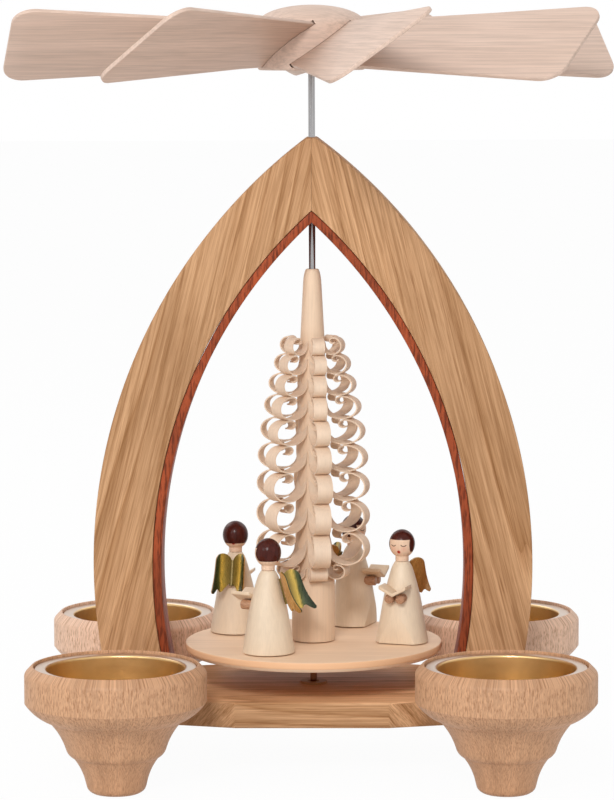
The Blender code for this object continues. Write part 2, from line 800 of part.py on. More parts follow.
def make_tree(spindle):
    bore = SHAFT_RADIUS + CLEARANCE
    bottom = STAGE_TOP + CLEARANCE
    low = tier_bottom(CURL_TIERS)
    profile = [
        (bore, TREE_TOP),
        (SPIRE_TOP_RADIUS - SPIRE_ROUND / 2, TREE_TOP),
        (SPIRE_TOP_RADIUS, TREE_TOP - SPIRE_ROUND),
        (SPIRE_BASE_RADIUS, SPIRE_BASE_Z),
        (TRUNK_LOW_RADIUS, low),
        (TRUNK_FOOT_RADIUS, low - (TRUNK_FOOT_RADIUS - TRUNK_LOW_RADIUS)),
        (TRUNK_FOOT_RADIUS, bottom),
        (bore, bottom),
    ]
    mesh = turned_mesh("curl_tree", profile, closed=True)
    tree = add_object("curl_tree", mesh, "linden", spindle)
    turn(tree, TRUNK_STEPS)
    boolean(tree, make_curls(), "UNION")


# Rotor.


def blade_middle():
    return HUB_BOTTOM + HUB_SIDE_HEIGHT / 2 + BLADE_ABOVE_MIDDLE


def make_hub(rotor):
    top = HUB_BOTTOM + HUB_SIDE_HEIGHT
    bore = SHAFT_RADIUS + CLEARANCE
    roof = HUB_BOTTOM + HUB_BORE_DEPTH
    profile = []
    for i in range(HUB_DOME_STEPS + 1):
        angle = math.pi / 2 * i / HUB_DOME_STEPS
        profile.append((HUB_RADIUS * math.sin(angle), top + HUB_DOME_HEIGHT * math.cos(angle)))
    profile += [
        (HUB_RADIUS, HUB_BOTTOM + HUB_CHAMFER),
        (HUB_RADIUS - HUB_CHAMFER, HUB_BOTTOM),
        (bore, HUB_BOTTOM),
        (bore, roof),
        (0.0, roof),
    ]
    hub = add_object("rotor_hub", turned_mesh("rotor_hub", profile), "linden", rotor)
    turn(hub, HUB_STEPS)
    return hub


def blade_outline():
    """A blade seen flat: X runs out from the axis, with rounded corners at the tip."""
    root = HUB_RADIUS - BLADE_TONGUE
    slope = (BLADE_TIP_CHORD - BLADE_ROOT_CHORD) / 2 / (BLADE_TIP_RADIUS - HUB_RADIUS)
    root_half = BLADE_ROOT_CHORD / 2 - BLADE_TONGUE * slope
    tip_half = BLADE_TIP_CHORD / 2
    lean = math.atan(slope)
    centre_x = BLADE_TIP_RADIUS - BLADE_CORNER
    centre_y = tip_half - slope * BLADE_CORNER - BLADE_CORNER / math.cos(lean)
    upper = arc((centre_x, centre_y), BLADE_CORNER, math.pi / 2 + lean, 0.0, BLADE_CORNER_STEPS)
    side = [(root, root_half)] + upper
    return side + [(x, -y) for x, y in reversed(side)]


def blade_place(index):
    """The blade's place: out along its own azimuth and pitched about its own length."""
    azimuth = BLADE_TURN + math.tau * index / BLADE_COUNT
    spin = Matrix.Rotation(azimuth, 4, "Z")
    pitch = Matrix.Rotation(BLADE_PITCH, 4, "X")
    return Matrix.Translation((0, 0, blade_middle())) @ spin @ pitch


def make_rotor(rotor):
    hub = make_hub(rotor)
    outline = blade_outline()
    slot_depth = BLADE_TONGUE + CLEARANCE
    slot_size = (
        2 * slot_depth,
        BLADE_ROOT_CHORD + 2 * CLEARANCE,
        BLADE_THICKNESS + 2 * CLEARANCE,
    )
    for index in range(BLADE_COUNT):
        name = f"blade_{index + 1}"
        blade = add_object(name, outline_mesh(name, outline, BLADE_THICKNESS), "linden", rotor)
        blade.matrix_world = blade_place(index)
        slot = add_cutter(name + "_slot", box_mesh(name + "_slot", slot_size, (HUB_RADIUS, 0, 0)))
        slot.matrix_world = blade_place(index)
        boolean(hub, slot, "DIFFERENCE")


# Angels.


def robe_flat_at(height):
    """Distance of the robe's flat front from its axis at a height."""
    return ROBE_FLAT_Y - height * math.tan(ROBE_FLAT_LEAN)


def robe_back_at(height):
    share = (height - ROBE_WAIST_Z) / (ROBE_SHOULDER_Z - ROBE_WAIST_Z)
    return ROBE_WAIST_RADIUS + (ROBE_SHOULDER_RADIUS - ROBE_WAIST_RADIUS) * share


def make_robe(name, holder):
    collar = ROBE_COLLAR_WIDTH_SHARE * (ROBE_SHOULDER_RADIUS - ROBE_NECK_RADIUS)
    drop = ROBE_COLLAR_DROP_SHARE * (ROBE_HEIGHT - ROBE_SHOULDER_Z)
    profile = [
        (0.0, ROBE_HEIGHT),
        (ROBE_NECK_RADIUS, ROBE_HEIGHT),
        (ROBE_NECK_RADIUS + collar, ROBE_HEIGHT - drop),
        (ROBE_SHOULDER_RADIUS, ROBE_SHOULDER_Z),
        (ROBE_WAIST_RADIUS, ROBE_WAIST_Z),
        (ROBE_BASE_RADIUS, 0.0),
        (0.0, 0.0),
    ]
    robe = add_object(name, turned_mesh(name, profile), "cream_paint", holder)
    turn(robe, ROBE_STEPS)
    size = 4 * ROBE_BASE_RADIUS
    mesh = box_mesh(name + "_front", (size, size, 4 * size), (0, -size / 2, 0))
    front = add_cutter(name + "_front", mesh, holder)
    front.location.y = -ROBE_FLAT_Y
    front.rotation_euler.x = -ROBE_FLAT_LEAN
    boolean(robe, front, "DIFFERENCE")


def make_head(name, holder):
    """A turned head, a little taller than wide, on its neck."""
    bottom = ROBE_HEIGHT + CLEARANCE
    neck_angle = math.acos(NECK_RADIUS / HEAD_RADIUS)
    sweep = math.pi / 2 + neck_angle
    angles = [math.pi / 2 - sweep * i / HEAD_RINGS for i in range(HEAD_RINGS + 1)]
    profile = [
        (HEAD_RADIUS * math.cos(a), HEAD_Z + HEAD_HALF_HEIGHT * math.sin(a)) for a in angles
    ]
    profile[0] = (0.0, HEAD_Z + HEAD_HALF_HEIGHT)
    profile += [(NECK_RADIUS, bottom), (0.0, bottom)]
    head = add_object(name, turned_mesh(name, profile), "skin", holder)
    turn(head, HEAD_STEPS)


def make_hand(name, holder, side):
    mesh = cylinder_mesh(name, HAND_RADIUS, HAND_LENGTH, HAND_STEPS)
    hand = add_object(name, mesh, "hand_wood", holder)
    start = robe_flat_at(HAND_Z - HAND_RADIUS) + CLEARANCE
    hand.matrix_local = along(
        (side * HAND_SPREAD, -start, HAND_Z), (side * HAND_SPREAD, -start - HAND_LENGTH, HAND_Z)
    )


def make_book(name, holder):
    """An open book, its two halves rising from the spine, laid on the hands."""
    rise = math.tan(BOOK_RISE) * BOOK_HALF_WIDTH
    thick = BOOK_THICKNESS / math.cos(BOOK_RISE)
    outline = [
        (-BOOK_HALF_WIDTH, rise),
        (0.0, 0.0),
        (BOOK_HALF_WIDTH, rise),
        (BOOK_HALF_WIDTH, rise + thick),
        (0.0, thick),
        (-BOOK_HALF_WIDTH, rise + thick),
    ]
    book = add_object(name, outline_mesh(name, outline, BOOK_LENGTH), "paper", holder)
    spine = HAND_Z + (HAND_RADIUS + CLEARANCE) / math.cos(BOOK_RISE)
    spine -= math.tan(BOOK_RISE) * HAND_SPREAD
    start = robe_flat_at(spine) + CLEARANCE
    book.rotation_euler.x = math.radians(90)
    book.location = (0.0, -start - BOOK_LENGTH / 2, spine)


def wing_outline():
    """A wing seen flat: X away from the back, Y down from its top, with two feathered points."""
    radius = WING_WIDTH * WING_CROWN_RADIUS
    centre = (WING_WIDTH * WING_CROWN_OUT, -radius)
    crown = arc(centre, radius, math.pi, 0.0, WING_CROWN_STEPS)
    places = (WING_WAIST, WING_LONG_TIP, WING_LONG_END, WING_NOTCH, WING_SHORT_TIP, WING_HEM)
    hem = [(WING_WIDTH * out, -WING_HEIGHT * down) for out, down in places]
    root = [(0.0, -WING_HEIGHT * WING_ROOT_BOTTOM), (0.0, -WING_HEIGHT * WING_ROOT_TOP)]
    return crown + hem + root


def make_wings(name, holder):
    """Two wings joined by a spine at the back, spread apart and leaning with the robe."""
    low = WING_TOP_Z - WING_HEIGHT * WING_ROOT_BOTTOM
    back = robe_back_at(low) + CLEARANCE + WING_SPINE_RADIUS / math.cos(WING_LEAN)
    foot = Matrix.Translation((0, back, low)) @ Matrix.Rotation(WING_LEAN, 4, "X")
    place = foot @ Matrix.Translation((0, 0, WING_TOP_Z - low))
    upright = Matrix.Rotation(math.radians(90), 4, "X")
    outline = wing_outline()
    wings = add_object(name, outline_mesh(name, outline, WING_THICKNESS), "gold_paint", holder)
    wings.matrix_local = place @ Matrix.Rotation(math.pi / 2 + WING_SPREAD, 4, "Z") @ upright
    length = WING_HEIGHT * (WING_SPINE_BOTTOM - WING_SPINE_TOP)
    spine_mesh = cylinder_mesh(name + "_spine", WING_SPINE_RADIUS, length, WING_SPINE_STEPS)
    spine = add_cutter(name + "_spine", spine_mesh, holder)
    spine.matrix_local = place @ Matrix.Translation((0, 0, -WING_HEIGHT * WING_SPINE_BOTTOM))
    boolean(wings, spine, "UNION")
    other_mesh = outline_mesh(name + "_right", outline, WING_THICKNESS)
    other = add_cutter(name + "_right", other_mesh, holder)
    other.matrix_local = place @ Matrix.Rotation(math.pi / 2 - WING_SPREAD, 4, "Z") @ upright
    boolean(wings, other, "UNION")


def make_angel(name, distance, position, heading, spindle):
    """An angel at a distance and angle from the axis, looking along its heading."""
    holder = add_empty(name, spindle)
    holder.location = (
        distance * math.cos(position),
        distance * math.sin(position),
        STAGE_TOP + CLEARANCE,
    )
    holder.rotation_euler.z = heading + math.radians(90)
    bpy.context.view_layer.update()
    make_robe(name + "_robe", holder)
    make_head(name + "_head", holder)
    make_wings(name + "_wings", holder)
    make_book(name + "_book", holder)
    make_hand(name + "_right_hand", holder, -1)
    make_hand(name + "_left_hand", holder, 1)


def main():
    clear_scene()
    new_collection(PARTS_NAME)
    new_collection(CUTTERS_NAME)
    spindle = add_empty("spindle_axis")
    rotor = add_empty("rotor_axis", spindle)
    make_plate()
    make_arch()
    make_bearings()
    for side_y, depth_word in ((-1, "front"), (1, "back")):
        for side_x, side_word in ((-1, "left"), (1, "right")):
            place = f"{depth_word}_{side_word}"
            make_cup("cup_" + place, side_x, side_y)
            make_insert("insert_" + place, side_x, side_y)
            make_cup_dowel("cup_dowel_" + place, side_x, side_y)
    make_shaft(spindle)
    make_stage(spindle)
    make_tree(spindle)
    make_rotor(rotor)
    for name, distance, position, heading in FIGURES:
        make_angel(name, distance, position, heading, spindle)


if __name__ == "__main__":
    main()
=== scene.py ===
"""Looks of a wooden candle carousel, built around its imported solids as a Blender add-on."""

import math
import random

import bmesh
import bpy
from mathutils import Matrix, Vector


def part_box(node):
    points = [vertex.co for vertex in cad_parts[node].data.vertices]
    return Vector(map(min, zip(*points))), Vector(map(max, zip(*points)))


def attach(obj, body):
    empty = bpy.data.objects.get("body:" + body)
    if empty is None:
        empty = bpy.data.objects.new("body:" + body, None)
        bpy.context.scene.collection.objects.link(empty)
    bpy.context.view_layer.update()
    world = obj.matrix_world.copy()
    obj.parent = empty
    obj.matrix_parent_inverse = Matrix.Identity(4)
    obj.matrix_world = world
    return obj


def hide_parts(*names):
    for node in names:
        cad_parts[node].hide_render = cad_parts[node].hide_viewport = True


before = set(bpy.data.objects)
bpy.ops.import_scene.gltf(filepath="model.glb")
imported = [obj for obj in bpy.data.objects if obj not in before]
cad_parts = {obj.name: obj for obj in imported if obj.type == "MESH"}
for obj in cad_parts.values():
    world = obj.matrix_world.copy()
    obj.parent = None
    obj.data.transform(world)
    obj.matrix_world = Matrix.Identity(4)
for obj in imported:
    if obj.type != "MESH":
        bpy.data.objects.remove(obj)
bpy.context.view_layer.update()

bl_info = {
    "name": "Candle Carousel Looks",
    "version": (1, 0, 0),
    "blender": (4, 5, 0),
    "location": "View3D > Sidebar > Carousel",
    "description": "Dresses a wooden candle carousel with turned, sawn and shaved pieces",
    "category": "Object",
}

PLACES = ("front_left", "front_right", "back_left", "back_right")
SIDES = ((-1, "left"), (1, "right"))
QUARTER = math.pi / 2
FAR = 1.0  # beyond any point of the object
GAP = 0.0003  # room between pieces that seat in one another
JOINT = 0.00003  # half the seam between the arch's halves
MERGE = 1e-6  # points nearer than this are one point
BORE = 0.0013  # radius of the holes for the shaft


# Settings


def length_prop(name, text, default):
    """A length in the sidebar's settings."""
    return bpy.props.FloatProperty(name=name, description=text, default=default, unit="LENGTH")


def angle_prop(name, text, degrees):
    """An angle in the sidebar's settings."""
    return bpy.props.FloatProperty(
        name=name, description=text, default=math.radians(degrees), subtype="ANGLE"
    )


def count_prop(name, text, default, least):
    """A whole number in the sidebar's settings."""
    return bpy.props.IntProperty(name=name, description=text, default=default, min=least)


def colour_prop(name, text, *rgb):
    """A colour in the sidebar's settings."""
    return bpy.props.FloatVectorProperty(
        name=name, description=text, subtype="COLOR", size=4, default=(*rgb, 1.0)
    )


class CupSizes(bpy.types.PropertyGroup):
    """Profile of a candle cup and its brass insert."""

    radius: length_prop("Radius", "Widest radius of a cup", 0.0264)
    opening: length_prop("Opening", "Inner radius of the brass", 0.02)
    depth: length_prop("Depth", "Depth of the brass", 0.012)
    sheet: length_prop("Sheet", "Thickness of the brass", 0.0006)
    flange: length_prop("Flange", "Outer radius of the brass rim", 0.02345)
    recess: length_prop("Recess", "Depth of the rim under the lip", 0.0008)
    beech: colour_prop("Beech", "Colour of the turned beech", 0.57, 0.325, 0.185)
    # Painted light: the two cups behind get a paler copy of the beech, as if more brightly lit
    lit_beech: colour_prop("Lit beech", "Colour of the two cups behind", 0.72, 0.485, 0.35)
    brass: colour_prop("Brass", "Colour of the brass", 0.66, 0.445, 0.205)


class ArchSizes(bpy.types.PropertyGroup):
    """Curves of the pointed arch and edges of its base plate."""

    outer_radius: length_prop("Outer radius", "Radius of the outer curve", 0.159)
    outer_offset: length_prop("Outer offset", "Its centre's distance from the middle", 0.0933)
    outer_z: length_prop("Outer centre", "Its centre's height", 0.0604)
    inner_radius: length_prop("Inner radius", "Radius of the lining's face", 0.142)
    inner_offset: length_prop("Inner offset", "Its centre's distance from the middle", 0.0966)
    inner_z: length_prop("Inner centre", "Its centre's height", 0.059)
    lining: length_prop("Lining", "Thickness of the lining", 0.0026)
    edge: length_prop("Edge", "Width of the sanded edges", 0.0005)
    front_half: length_prop("Straight front", "Half the plate's straight front", 0.0226)
    ash: colour_prop("Ash", "Colour of the ash boards", 0.52, 0.305, 0.164)
    lining_colour: colour_prop("Lining colour", "Colour of the red lining", 0.34, 0.066, 0.020)


class TreeSizes(bpy.types.PropertyGroup):
    """Stem and shavings of the curled tree."""

    columns: count_prop("Columns", "Columns of shavings round the stem", 6, 3)
    tiers: count_prop("Tiers", "Full tiers of shavings", 9, 1)
    turn: angle_prop("Turn", "Direction of the first column", -78)
    thickness: length_prop("Thickness", "Thickness of a shaving", 0.00042)
    spire_base: length_prop("Spire", "Height at which the shavings start", 0.1286)
    linden: colour_prop("Linden", "Colour of the pale wood", 0.87, 0.68, 0.51)


class RotorSizes(bpy.types.PropertyGroup):
    """Hub and blades of the rotor."""

    blades: count_prop("Blades", "Blades", 8, 3)
    turn: angle_prop("Turn", "Direction of the first blade", -76.3)
    pitch: angle_prop("Pitch", "Slant of the blades", 35)
    tip_radius: length_prop("Tip radius", "Reach of a blade", 0.0908)
    root_chord: length_prop("Root", "Blade width at the hub", 0.0222)
    tip_chord: length_prop("Tip", "Blade width at the tip", 0.0363)
    thickness: length_prop("Thickness", "Blade thickness", 0.0012)
    corner: length_prop("Corner", "Rounding of the tip's corners", 0.007)
    blade_wood: colour_prop("Blade wood", "Colour of the blades", 0.69, 0.515, 0.42)


class AngelSizes(bpy.types.PropertyGroup):
    """The singing figures, in their own frame."""

    head_radius: length_prop("Head", "Half the width of a head", 0.0039)
    head_z: length_prop("Head height", "Height of a head's middle", 0.0297)
    robe: colour_prop("Robe", "Colour of the robes", 0.78, 0.63, 0.465)
    skin: colour_prop("Skin", "Colour of the faces", 0.80, 0.56, 0.40)
    hair: colour_prop("Hair", "Colour of the hair", 0.062, 0.012, 0.008)
    gold: colour_prop("Gold", "Colour of the gilt wings", 0.34, 0.23, 0.045)


class Carousel(bpy.types.PropertyGroup):
    """All settings of the carousel's looks."""

    cups: bpy.props.PointerProperty(type=CupSizes)
    arch: bpy.props.PointerProperty(type=ArchSizes)
    tree: bpy.props.PointerProperty(type=TreeSizes)
    rotor: bpy.props.PointerProperty(type=RotorSizes)
    angels: bpy.props.PointerProperty(type=AngelSizes)


# Pieces


def middle(node):
    """The middle of a node's box in plan, and its lowest and highest level."""
    low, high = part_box(node)
    return (low[0] + high[0]) / 2, (low[1] + high[1]) / 2, low[2], high[2]


def paint_node(name, material):
    """Gives a CAD node that stays in view its material."""
    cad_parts[name].data.materials[0] = material


def add_piece(name, shape, material, body, nodes=(), crease=35.0):
    """Makes a piece of a finished shape, lets it ride on a body and stand for its nodes."""
    mesh = bpy.data.meshes.new(name)
    shape.to_mesh(mesh)
    shape.free()
    smooth(mesh, crease)
    mesh.materials.append(material)
    piece = bpy.data.objects.new(name, mesh)
    bpy.context.scene.collection.objects.link(piece)
    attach(piece, body)
    if nodes:
        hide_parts(*nodes)
    return piece


def smooth(mesh, crease):
    """Shades a mesh smooth, apart from edges that bend by more than crease degrees."""
    mesh.shade_smooth()
    mesh.set_sharp_from_angle(angle=math.radians(crease))


def close_up(shape):
    """Merges seams and poles, and turns all faces outwards."""
    bmesh.ops.remove_doubles(shape, verts=shape.verts, dist=MERGE)
    bmesh.ops.recalc_face_normals(shape, faces=shape.faces)


def of_kind(items, kind):
    """Those of an operator's results that are of one kind."""
    return [item for item in items if isinstance(item, kind)]


def turned(profile, steps):
    """A turned shape about Z from a profile of (radius, height) points."""
    shape = bmesh.new()
    verts = [shape.verts.new((radius, 0.0, height)) for radius, height in profile]
    edges = [shape.edges.new(pair) for pair in zip(verts, verts[1:])]
    bmesh.ops.spin(
        shape, geom=verts + edges, cent=(0, 0, 0), axis=(0, 0, 1), angle=math.tau,
        steps=steps, use_merge=True, use_duplicate=False,
    )
    close_up(shape)
    return shape


def bow(start, end, sag, steps):
    """Points of a shallow arc that bulges to the right of its way by sag."""
    ahead = Vector(end) - Vector(start)
    side = Vector((ahead.y, -ahead.x)).normalized()
    shares = [i / steps for i in range(steps + 1)]
    return [tuple(Vector(start) + ahead * s + side * (4 * s * (1 - s) * sag)) for s in shares]


def eased(corners, steps=4):
    """A profile whose corners (radius, height, rounding) are eased by their rounding."""
    points = []
    for i, (x, z, ease) in enumerate(corners):
        here = Vector((x, z))
        if ease == 0.0 or i in (0, len(corners) - 1):
            points.append((x, z))
            continue
        before = Vector(corners[i - 1][:2]) - here
        after = Vector(corners[i + 1][:2]) - here
        first = here + before.normalized() * min(ease, before.length / 2)
        last = here + after.normalized() * min(ease, after.length / 2)
        for step in range(steps + 1):
            s = step / steps
            point = first * (1 - s) ** 2 + here * (2 * s * (1 - s)) + last * s**2
            points.append(tuple(point))
    return points


def ease_edges(shape, width, segments=2, least=30.0):
    """Sands edges that bend by least degrees round, but not those on the middle plane."""
    sharp = [
        edge for edge in shape.edges
        if len(edge.link_faces) == 2 and edge.calc_face_angle() > math.radians(least)
        and max(abs(vert.co.x) for vert in edge.verts) > JOINT * 1.5
    ]
    bmesh.ops.bevel(
        shape, geom=sharp, offset=width, offset_type="OFFSET", affect="EDGES",
        segments=segments, profile=0.5, material=-1, clamp_overlap=True,
    )


def thicken(shape, way):
    """Turns the flat faces of a shape into a board that reaches along way."""
    made = bmesh.ops.extrude_face_region(shape, geom=list(shape.faces))["geom"]
    bmesh.ops.translate(shape, verts=of_kind(made, bmesh.types.BMVert), vec=way)
    close_up(shape)


# Finishes


class Finish:
    """A node material that is put together step by step."""

    def __init__(self, name):
        self.material = bpy.data.materials.new(name)
        self.material.use_nodes = True
        self.tree = self.material.node_tree
        self.shader = self.tree.nodes["Principled BSDF"]
        self.start = self.tree.nodes.new("ShaderNodeTexCoord").outputs["Object"]

    def put(self, socket, value):
        """Links an input to another node's output, or gives it a value."""
        if isinstance(value, bpy.types.NodeSocket):
            self.tree.links.new(value, socket)
        else:
            socket.default_value = value

    def node(self, kind, links=(), **values):
        """A node with its properties set, and its inputs linked or given a value."""
        node = self.tree.nodes.new(kind)
        for key, value in values.items():
            setattr(node, key, value)
        for socket, value in dict(links).items():
            self.put(node.inputs[socket], value)
        return node

    def attribute(self, name):
        return self.node("ShaderNodeAttribute", attribute_name=name).outputs["Vector"]

    def parts(self, vector):
        """The three numbers of a vector."""
        return self.node("ShaderNodeSeparateXYZ", {"Vector": vector}).outputs

    def mapped(self, vector, scale=(1, 1, 1), turn=(0, 0, 0), place=(0, 0, 0), kind="POINT"):
        links = {"Vector": vector, "Scale": scale, "Rotation": turn, "Location": place}
        return self.node("ShaderNodeMapping", links, vector_type=kind).outputs["Vector"]

    def noise(self, vector, scale, detail=3.0, rough=0.5, distort=0.0):
        links = {
            "Vector": vector, "Scale": scale, "Detail": detail,
            "Roughness": rough, "Distortion": distort,
        }
        return self.node("ShaderNodeTexNoise", links).outputs["Fac"]

    def grain(self, vector, stretch, *more):
        """Noise drawn out along Z: the smaller the stretch, the longer its lines."""
        return self.noise(self.mapped(vector, scale=(1, 1, stretch)), *more)

    def ramp(self, value, *stops):
        """A colour or a grey level that follows a value through its stops."""
        node = self.node("ShaderNodeValToRGB", {"Fac": value})
        band = node.color_ramp
        while len(band.elements) < len(stops):
            band.elements.new(0.5)
        for element, (place, colour) in zip(band.elements, stops):
            rgb = colour[:3] if hasattr(colour, "__len__") else (colour,) * 3
            element.position = place
            element.color = (*rgb, 1.0)
        return node.outputs["Color"]

    def mix(self, factor, first, second, blend="MIX"):
        links = {0: factor, 6: first, 7: second}
        return self.node("ShaderNodeMix", links, data_type="RGBA", blend_type=blend).outputs[2]

    def tones(self, value, low, high, first, second):
        """A colour that goes from first to second while a value goes from low to high."""
        return self.mix(self.ramp(value, (low, 0.0), (high, 1.0)), first, second)

    def math(self, operation, first, second=0.0, third=0.0):
        links = {0: first, 1: second, 2: third}
        return self.node("ShaderNodeMath", links, operation=operation).outputs[0]

    def times(self, first, second):
        return self.math("MULTIPLY", first, second)

    def inverse(self, value):
        return self.math("SUBTRACT", 1.0, value)

    def distance(self, first, second):
        """How far off a point is that lies so far off in two directions."""
        squares = self.math("ADD", self.times(first, first), self.times(second, second))
        return self.math("SQRT", squares)

    def fade(self, value, start, end, most=1.0):
        """0 where a value is at start, and most where it is at end."""
        links = {"Value": value, "From Min": start, "From Max": end, "To Max": most}
        return self.node("ShaderNodeMapRange", links).outputs["Result"]

    def between(self, value, low, high, soft):
        """1 where a value lies between two limits, with a soft border."""
        rise = self.fade(value, low - soft, low + soft)
        return self.times(rise, self.fade(value, high + soft, high - soft))

    def bump(self, height, strength, distance):
        links = {"Height": height, "Strength": strength, "Distance": distance}
        normal = self.node("ShaderNodeBump", links).outputs["Normal"]
        self.tree.links.new(normal, self.shader.inputs["Normal"])

    def blend(self, share, other):
        """Mixes a share of another shader into the surface."""
        links = {0: share, 1: self.shader.outputs[0], 2: other}
        mixed = self.node("ShaderNodeMixShader", links).outputs[0]
        self.tree.links.new(mixed, self.tree.nodes["Material Output"].inputs["Surface"])

    def surface(self, colour, roughness, **values):
        """Sets the surface's inputs, and returns the finished material."""
        self.put(self.shader.inputs["Base Color"], colour)
        self.put(self.shader.inputs["Roughness"], roughness)
        for key, value in values.items():
            self.shader.inputs[key.replace("_", " ")].default_value = value
        return self.material


def shade(colour, factor, warm=1.0):
    """A colour made darker or lighter, and redder where warm is over 1."""
    return (colour[0] * factor * warm, colour[1] * factor, colour[2] * factor / warm, 1.0)


RINGS_PER_METRE = 200.0
RING_WANDER = 7.0
FACE_DEPTH = 0.0003  # how far below its top the plate counts as flat face
# Painted light: factor that makes the plate's flat top paler, as if lit from above
TOP_PAINTED_LIGHT = (1.35, 1.38, 1.42, 1.0)


def ash_finish(name, colour, turn, place=(0, 0, 0), board=None):
    """Oiled ash: growth rings along the grain with open dark pores.

    For a flat board, board is (half its straight front, its top): the rings run along X,
    fall across its slanted edges, and the flat face is made paler than the edges as painted light
    from above."""
    made = Finish(name)
    along = made.mapped(made.start, turn=turn, place=place)
    flat = 0.0
    if board:
        straight, top = board
        x, y, z = made.parts(made.start)
        past = made.math("SUBTRACT", made.math("ABSOLUTE", x), straight)
        past = made.math("MAXIMUM", past, 0.0)
        flat = made.between(z, top - FACE_DEPTH, FAR, 0.0002)
        past = made.times(past, made.inverse(flat))
        across = made.math("MULTIPLY_ADD", past, 1.3, made.math("MULTIPLY_ADD", y, -0.4, z))
        along = made.node("ShaderNodeCombineXYZ", {"X": across, "Y": y, "Z": x}).outputs[0]
    drift = made.grain(along, 0.3, 30.0)
    tone = made.tones(drift, 0.35, 0.66, shade(colour, 0.84, 1.03), shade(colour, 1.13))
    wander = made.noise(made.mapped(along, scale=(1, 0.6, 0.10)), 40.0, 2.0, 0.4)
    phase = made.times(made.parts(along)[0], RINGS_PER_METRE)
    rings = made.math("FRACT", made.math("MULTIPLY_ADD", wander, RING_WANDER, phase))
    early = made.ramp(
        rings, (0.0, (0.70, 0.61, 0.51)), (0.14, (0.87, 0.82, 0.76)), (0.5, (1.02, 1.01, 1.0)),
        (0.90, (1.13, 1.14, 1.15)), (1.0, (0.84, 0.76, 0.68)),
    )
    share = made.ramp(made.grain(along, 0.2, 70.0), (0.38, 0.25), (0.62, 1.0))
    tone = made.mix(share, tone, early, "MULTIPLY")
    # Painted light: the flat top face is made paler, as if lit from above
    tone = made.mix(flat, tone, made.mix(1.0, tone, TOP_PAINTED_LIGHT, "MULTIPLY"))
    fibre = made.grain(along, 0.02, 1500.0, 4.0, 0.65)
    lines = made.ramp(fibre, (0.34, (0.70, 0.63, 0.55)), (0.62, (1.20, 1.22, 1.25)))
    tone = made.mix(0.85, tone, lines, "MULTIPLY")
    pores = made.grain(along, 0.04, 2800.0, 2.0)
    gather = made.ramp(rings, (0.0, 1.0), (0.35, 0.25), (1.0, 0.6))
    dark = made.times(made.ramp(pores, (0.36, 1.0), (0.46, 0.0)), gather)
    colour_out = made.mix(made.times(dark, 0.7), tone, shade(colour, 0.42, 1.25))
    made.bump(made.inverse(dark), 0.08, 0.0001)
    rough = made.ramp(pores, (0.3, 0.55), (0.7, 0.40))
    return made.surface(colour_out, rough, Specular_IOR_Level=0.02)


def beech_finish(name, colour):
    """Turned beech with short dark flecks that run along the turned profile."""
    made = Finish(name)
    grain = made.attribute("grain")
    drift = made.grain(grain, 0.25, 70.0)
    tone = made.tones(drift, 0.3, 0.7, shade(colour, 0.88, 1.02), shade(colour, 1.12))
    streak = made.grain(grain, 0.05, 1500.0, 3.0, 0.6)
    tone = made.mix(0.8, tone, made.ramp(streak, (0.3, 0.80), (0.68, 1.12)), "MULTIPLY")
    fleck = made.grain(grain, 0.2, 3200.0, 2.0, 0.5, 0.3)
    dark = made.ramp(fleck, (0.36, 1.0), (0.47, 0.0))
    pale = made.ramp(fleck, (0.55, 0.0), (0.66, 1.0))
    tone = made.mix(made.times(pale, 0.5), tone, shade(colour, 1.32))
    colour_out = made.mix(made.times(dark, 0.8), tone, shade(colour, 0.52, 1.2))
    made.bump(made.inverse(dark), 0.08, 0.00008)
    rough = made.ramp(fleck, (0.3, 0.62), (0.6, 0.5))
    return made.surface(colour_out, rough, Specular_IOR_Level=0.3)


def linden_finish(
    name, colour, turn=(0, 0, 0), grain=0.5, scale=1.0, through=0.0, rim=0.0, kind="POINT"
):
    """Raw pale wood with a fine even grain.

    A thin shaving lets some light through, and a disc is browner beyond its rim's radius."""
    made = Finish(name)
    along = made.mapped(made.start, turn=turn, kind=kind)
    drift = made.grain(along, 0.12, 130.0 * scale)
    tone = made.tones(drift, 0.3, 0.72, shade(colour, 0.93, 1.02), shade(colour, 1.06))
    fibre = made.grain(along, 0.03, 1500.0 * scale, 4.0, 0.65)
    lines = made.ramp(fibre, (0.25, 1.0 - 0.32 * grain), (0.62, 1.0 + 0.04 * grain))
    made.bump(fibre, 0.10, 0.0001)
    colour_out = made.mix(1.0, tone, lines, "MULTIPLY")
    if rim:
        flat = made.mapped(made.start, scale=(1, 1, 0))
        out = made.node("ShaderNodeVectorMath", {0: flat}, operation="LENGTH").outputs["Value"]
        edge = made.between(out, rim, FAR, 0.0001)
        colour_out = made.mix(edge, colour_out, shade(colour, 0.74, 1.25))
    if through:
        glow = made.node("ShaderNodeBsdfTranslucent", {"Color": colour_out}).outputs[0]
        made.blend(through, glow)
    return made.surface(colour_out, made.ramp(fibre, (0.2, 0.66), (0.8, 0.52)))


def lining_finish(name, colour):
    """Red hardwood strip with long dark pores."""
    made = Finish(name)
    pores = made.grain(made.start, 0.12, 1400.0, 3.0, 0.6)
    drift = made.grain(made.start, 0.3, 90.0)
    tone = made.tones(drift, 0.3, 0.7, shade(colour, 0.72), shade(colour, 1.25))
    dark = made.ramp(pores, (0.40, 1.0), (0.54, 0.0))
    colour_out = made.mix(made.times(dark, 0.85), tone, shade(colour, 0.3, 1.1))
    made.bump(pores, 0.25, 0.0002)
    rough = made.ramp(pores, (0.3, 0.6), (0.7, 0.45))
    return made.surface(colour_out, rough, Specular_IOR_Level=0.2)


FLANGE_TINT = (0.62, 0.50, 0.42, 1.0)


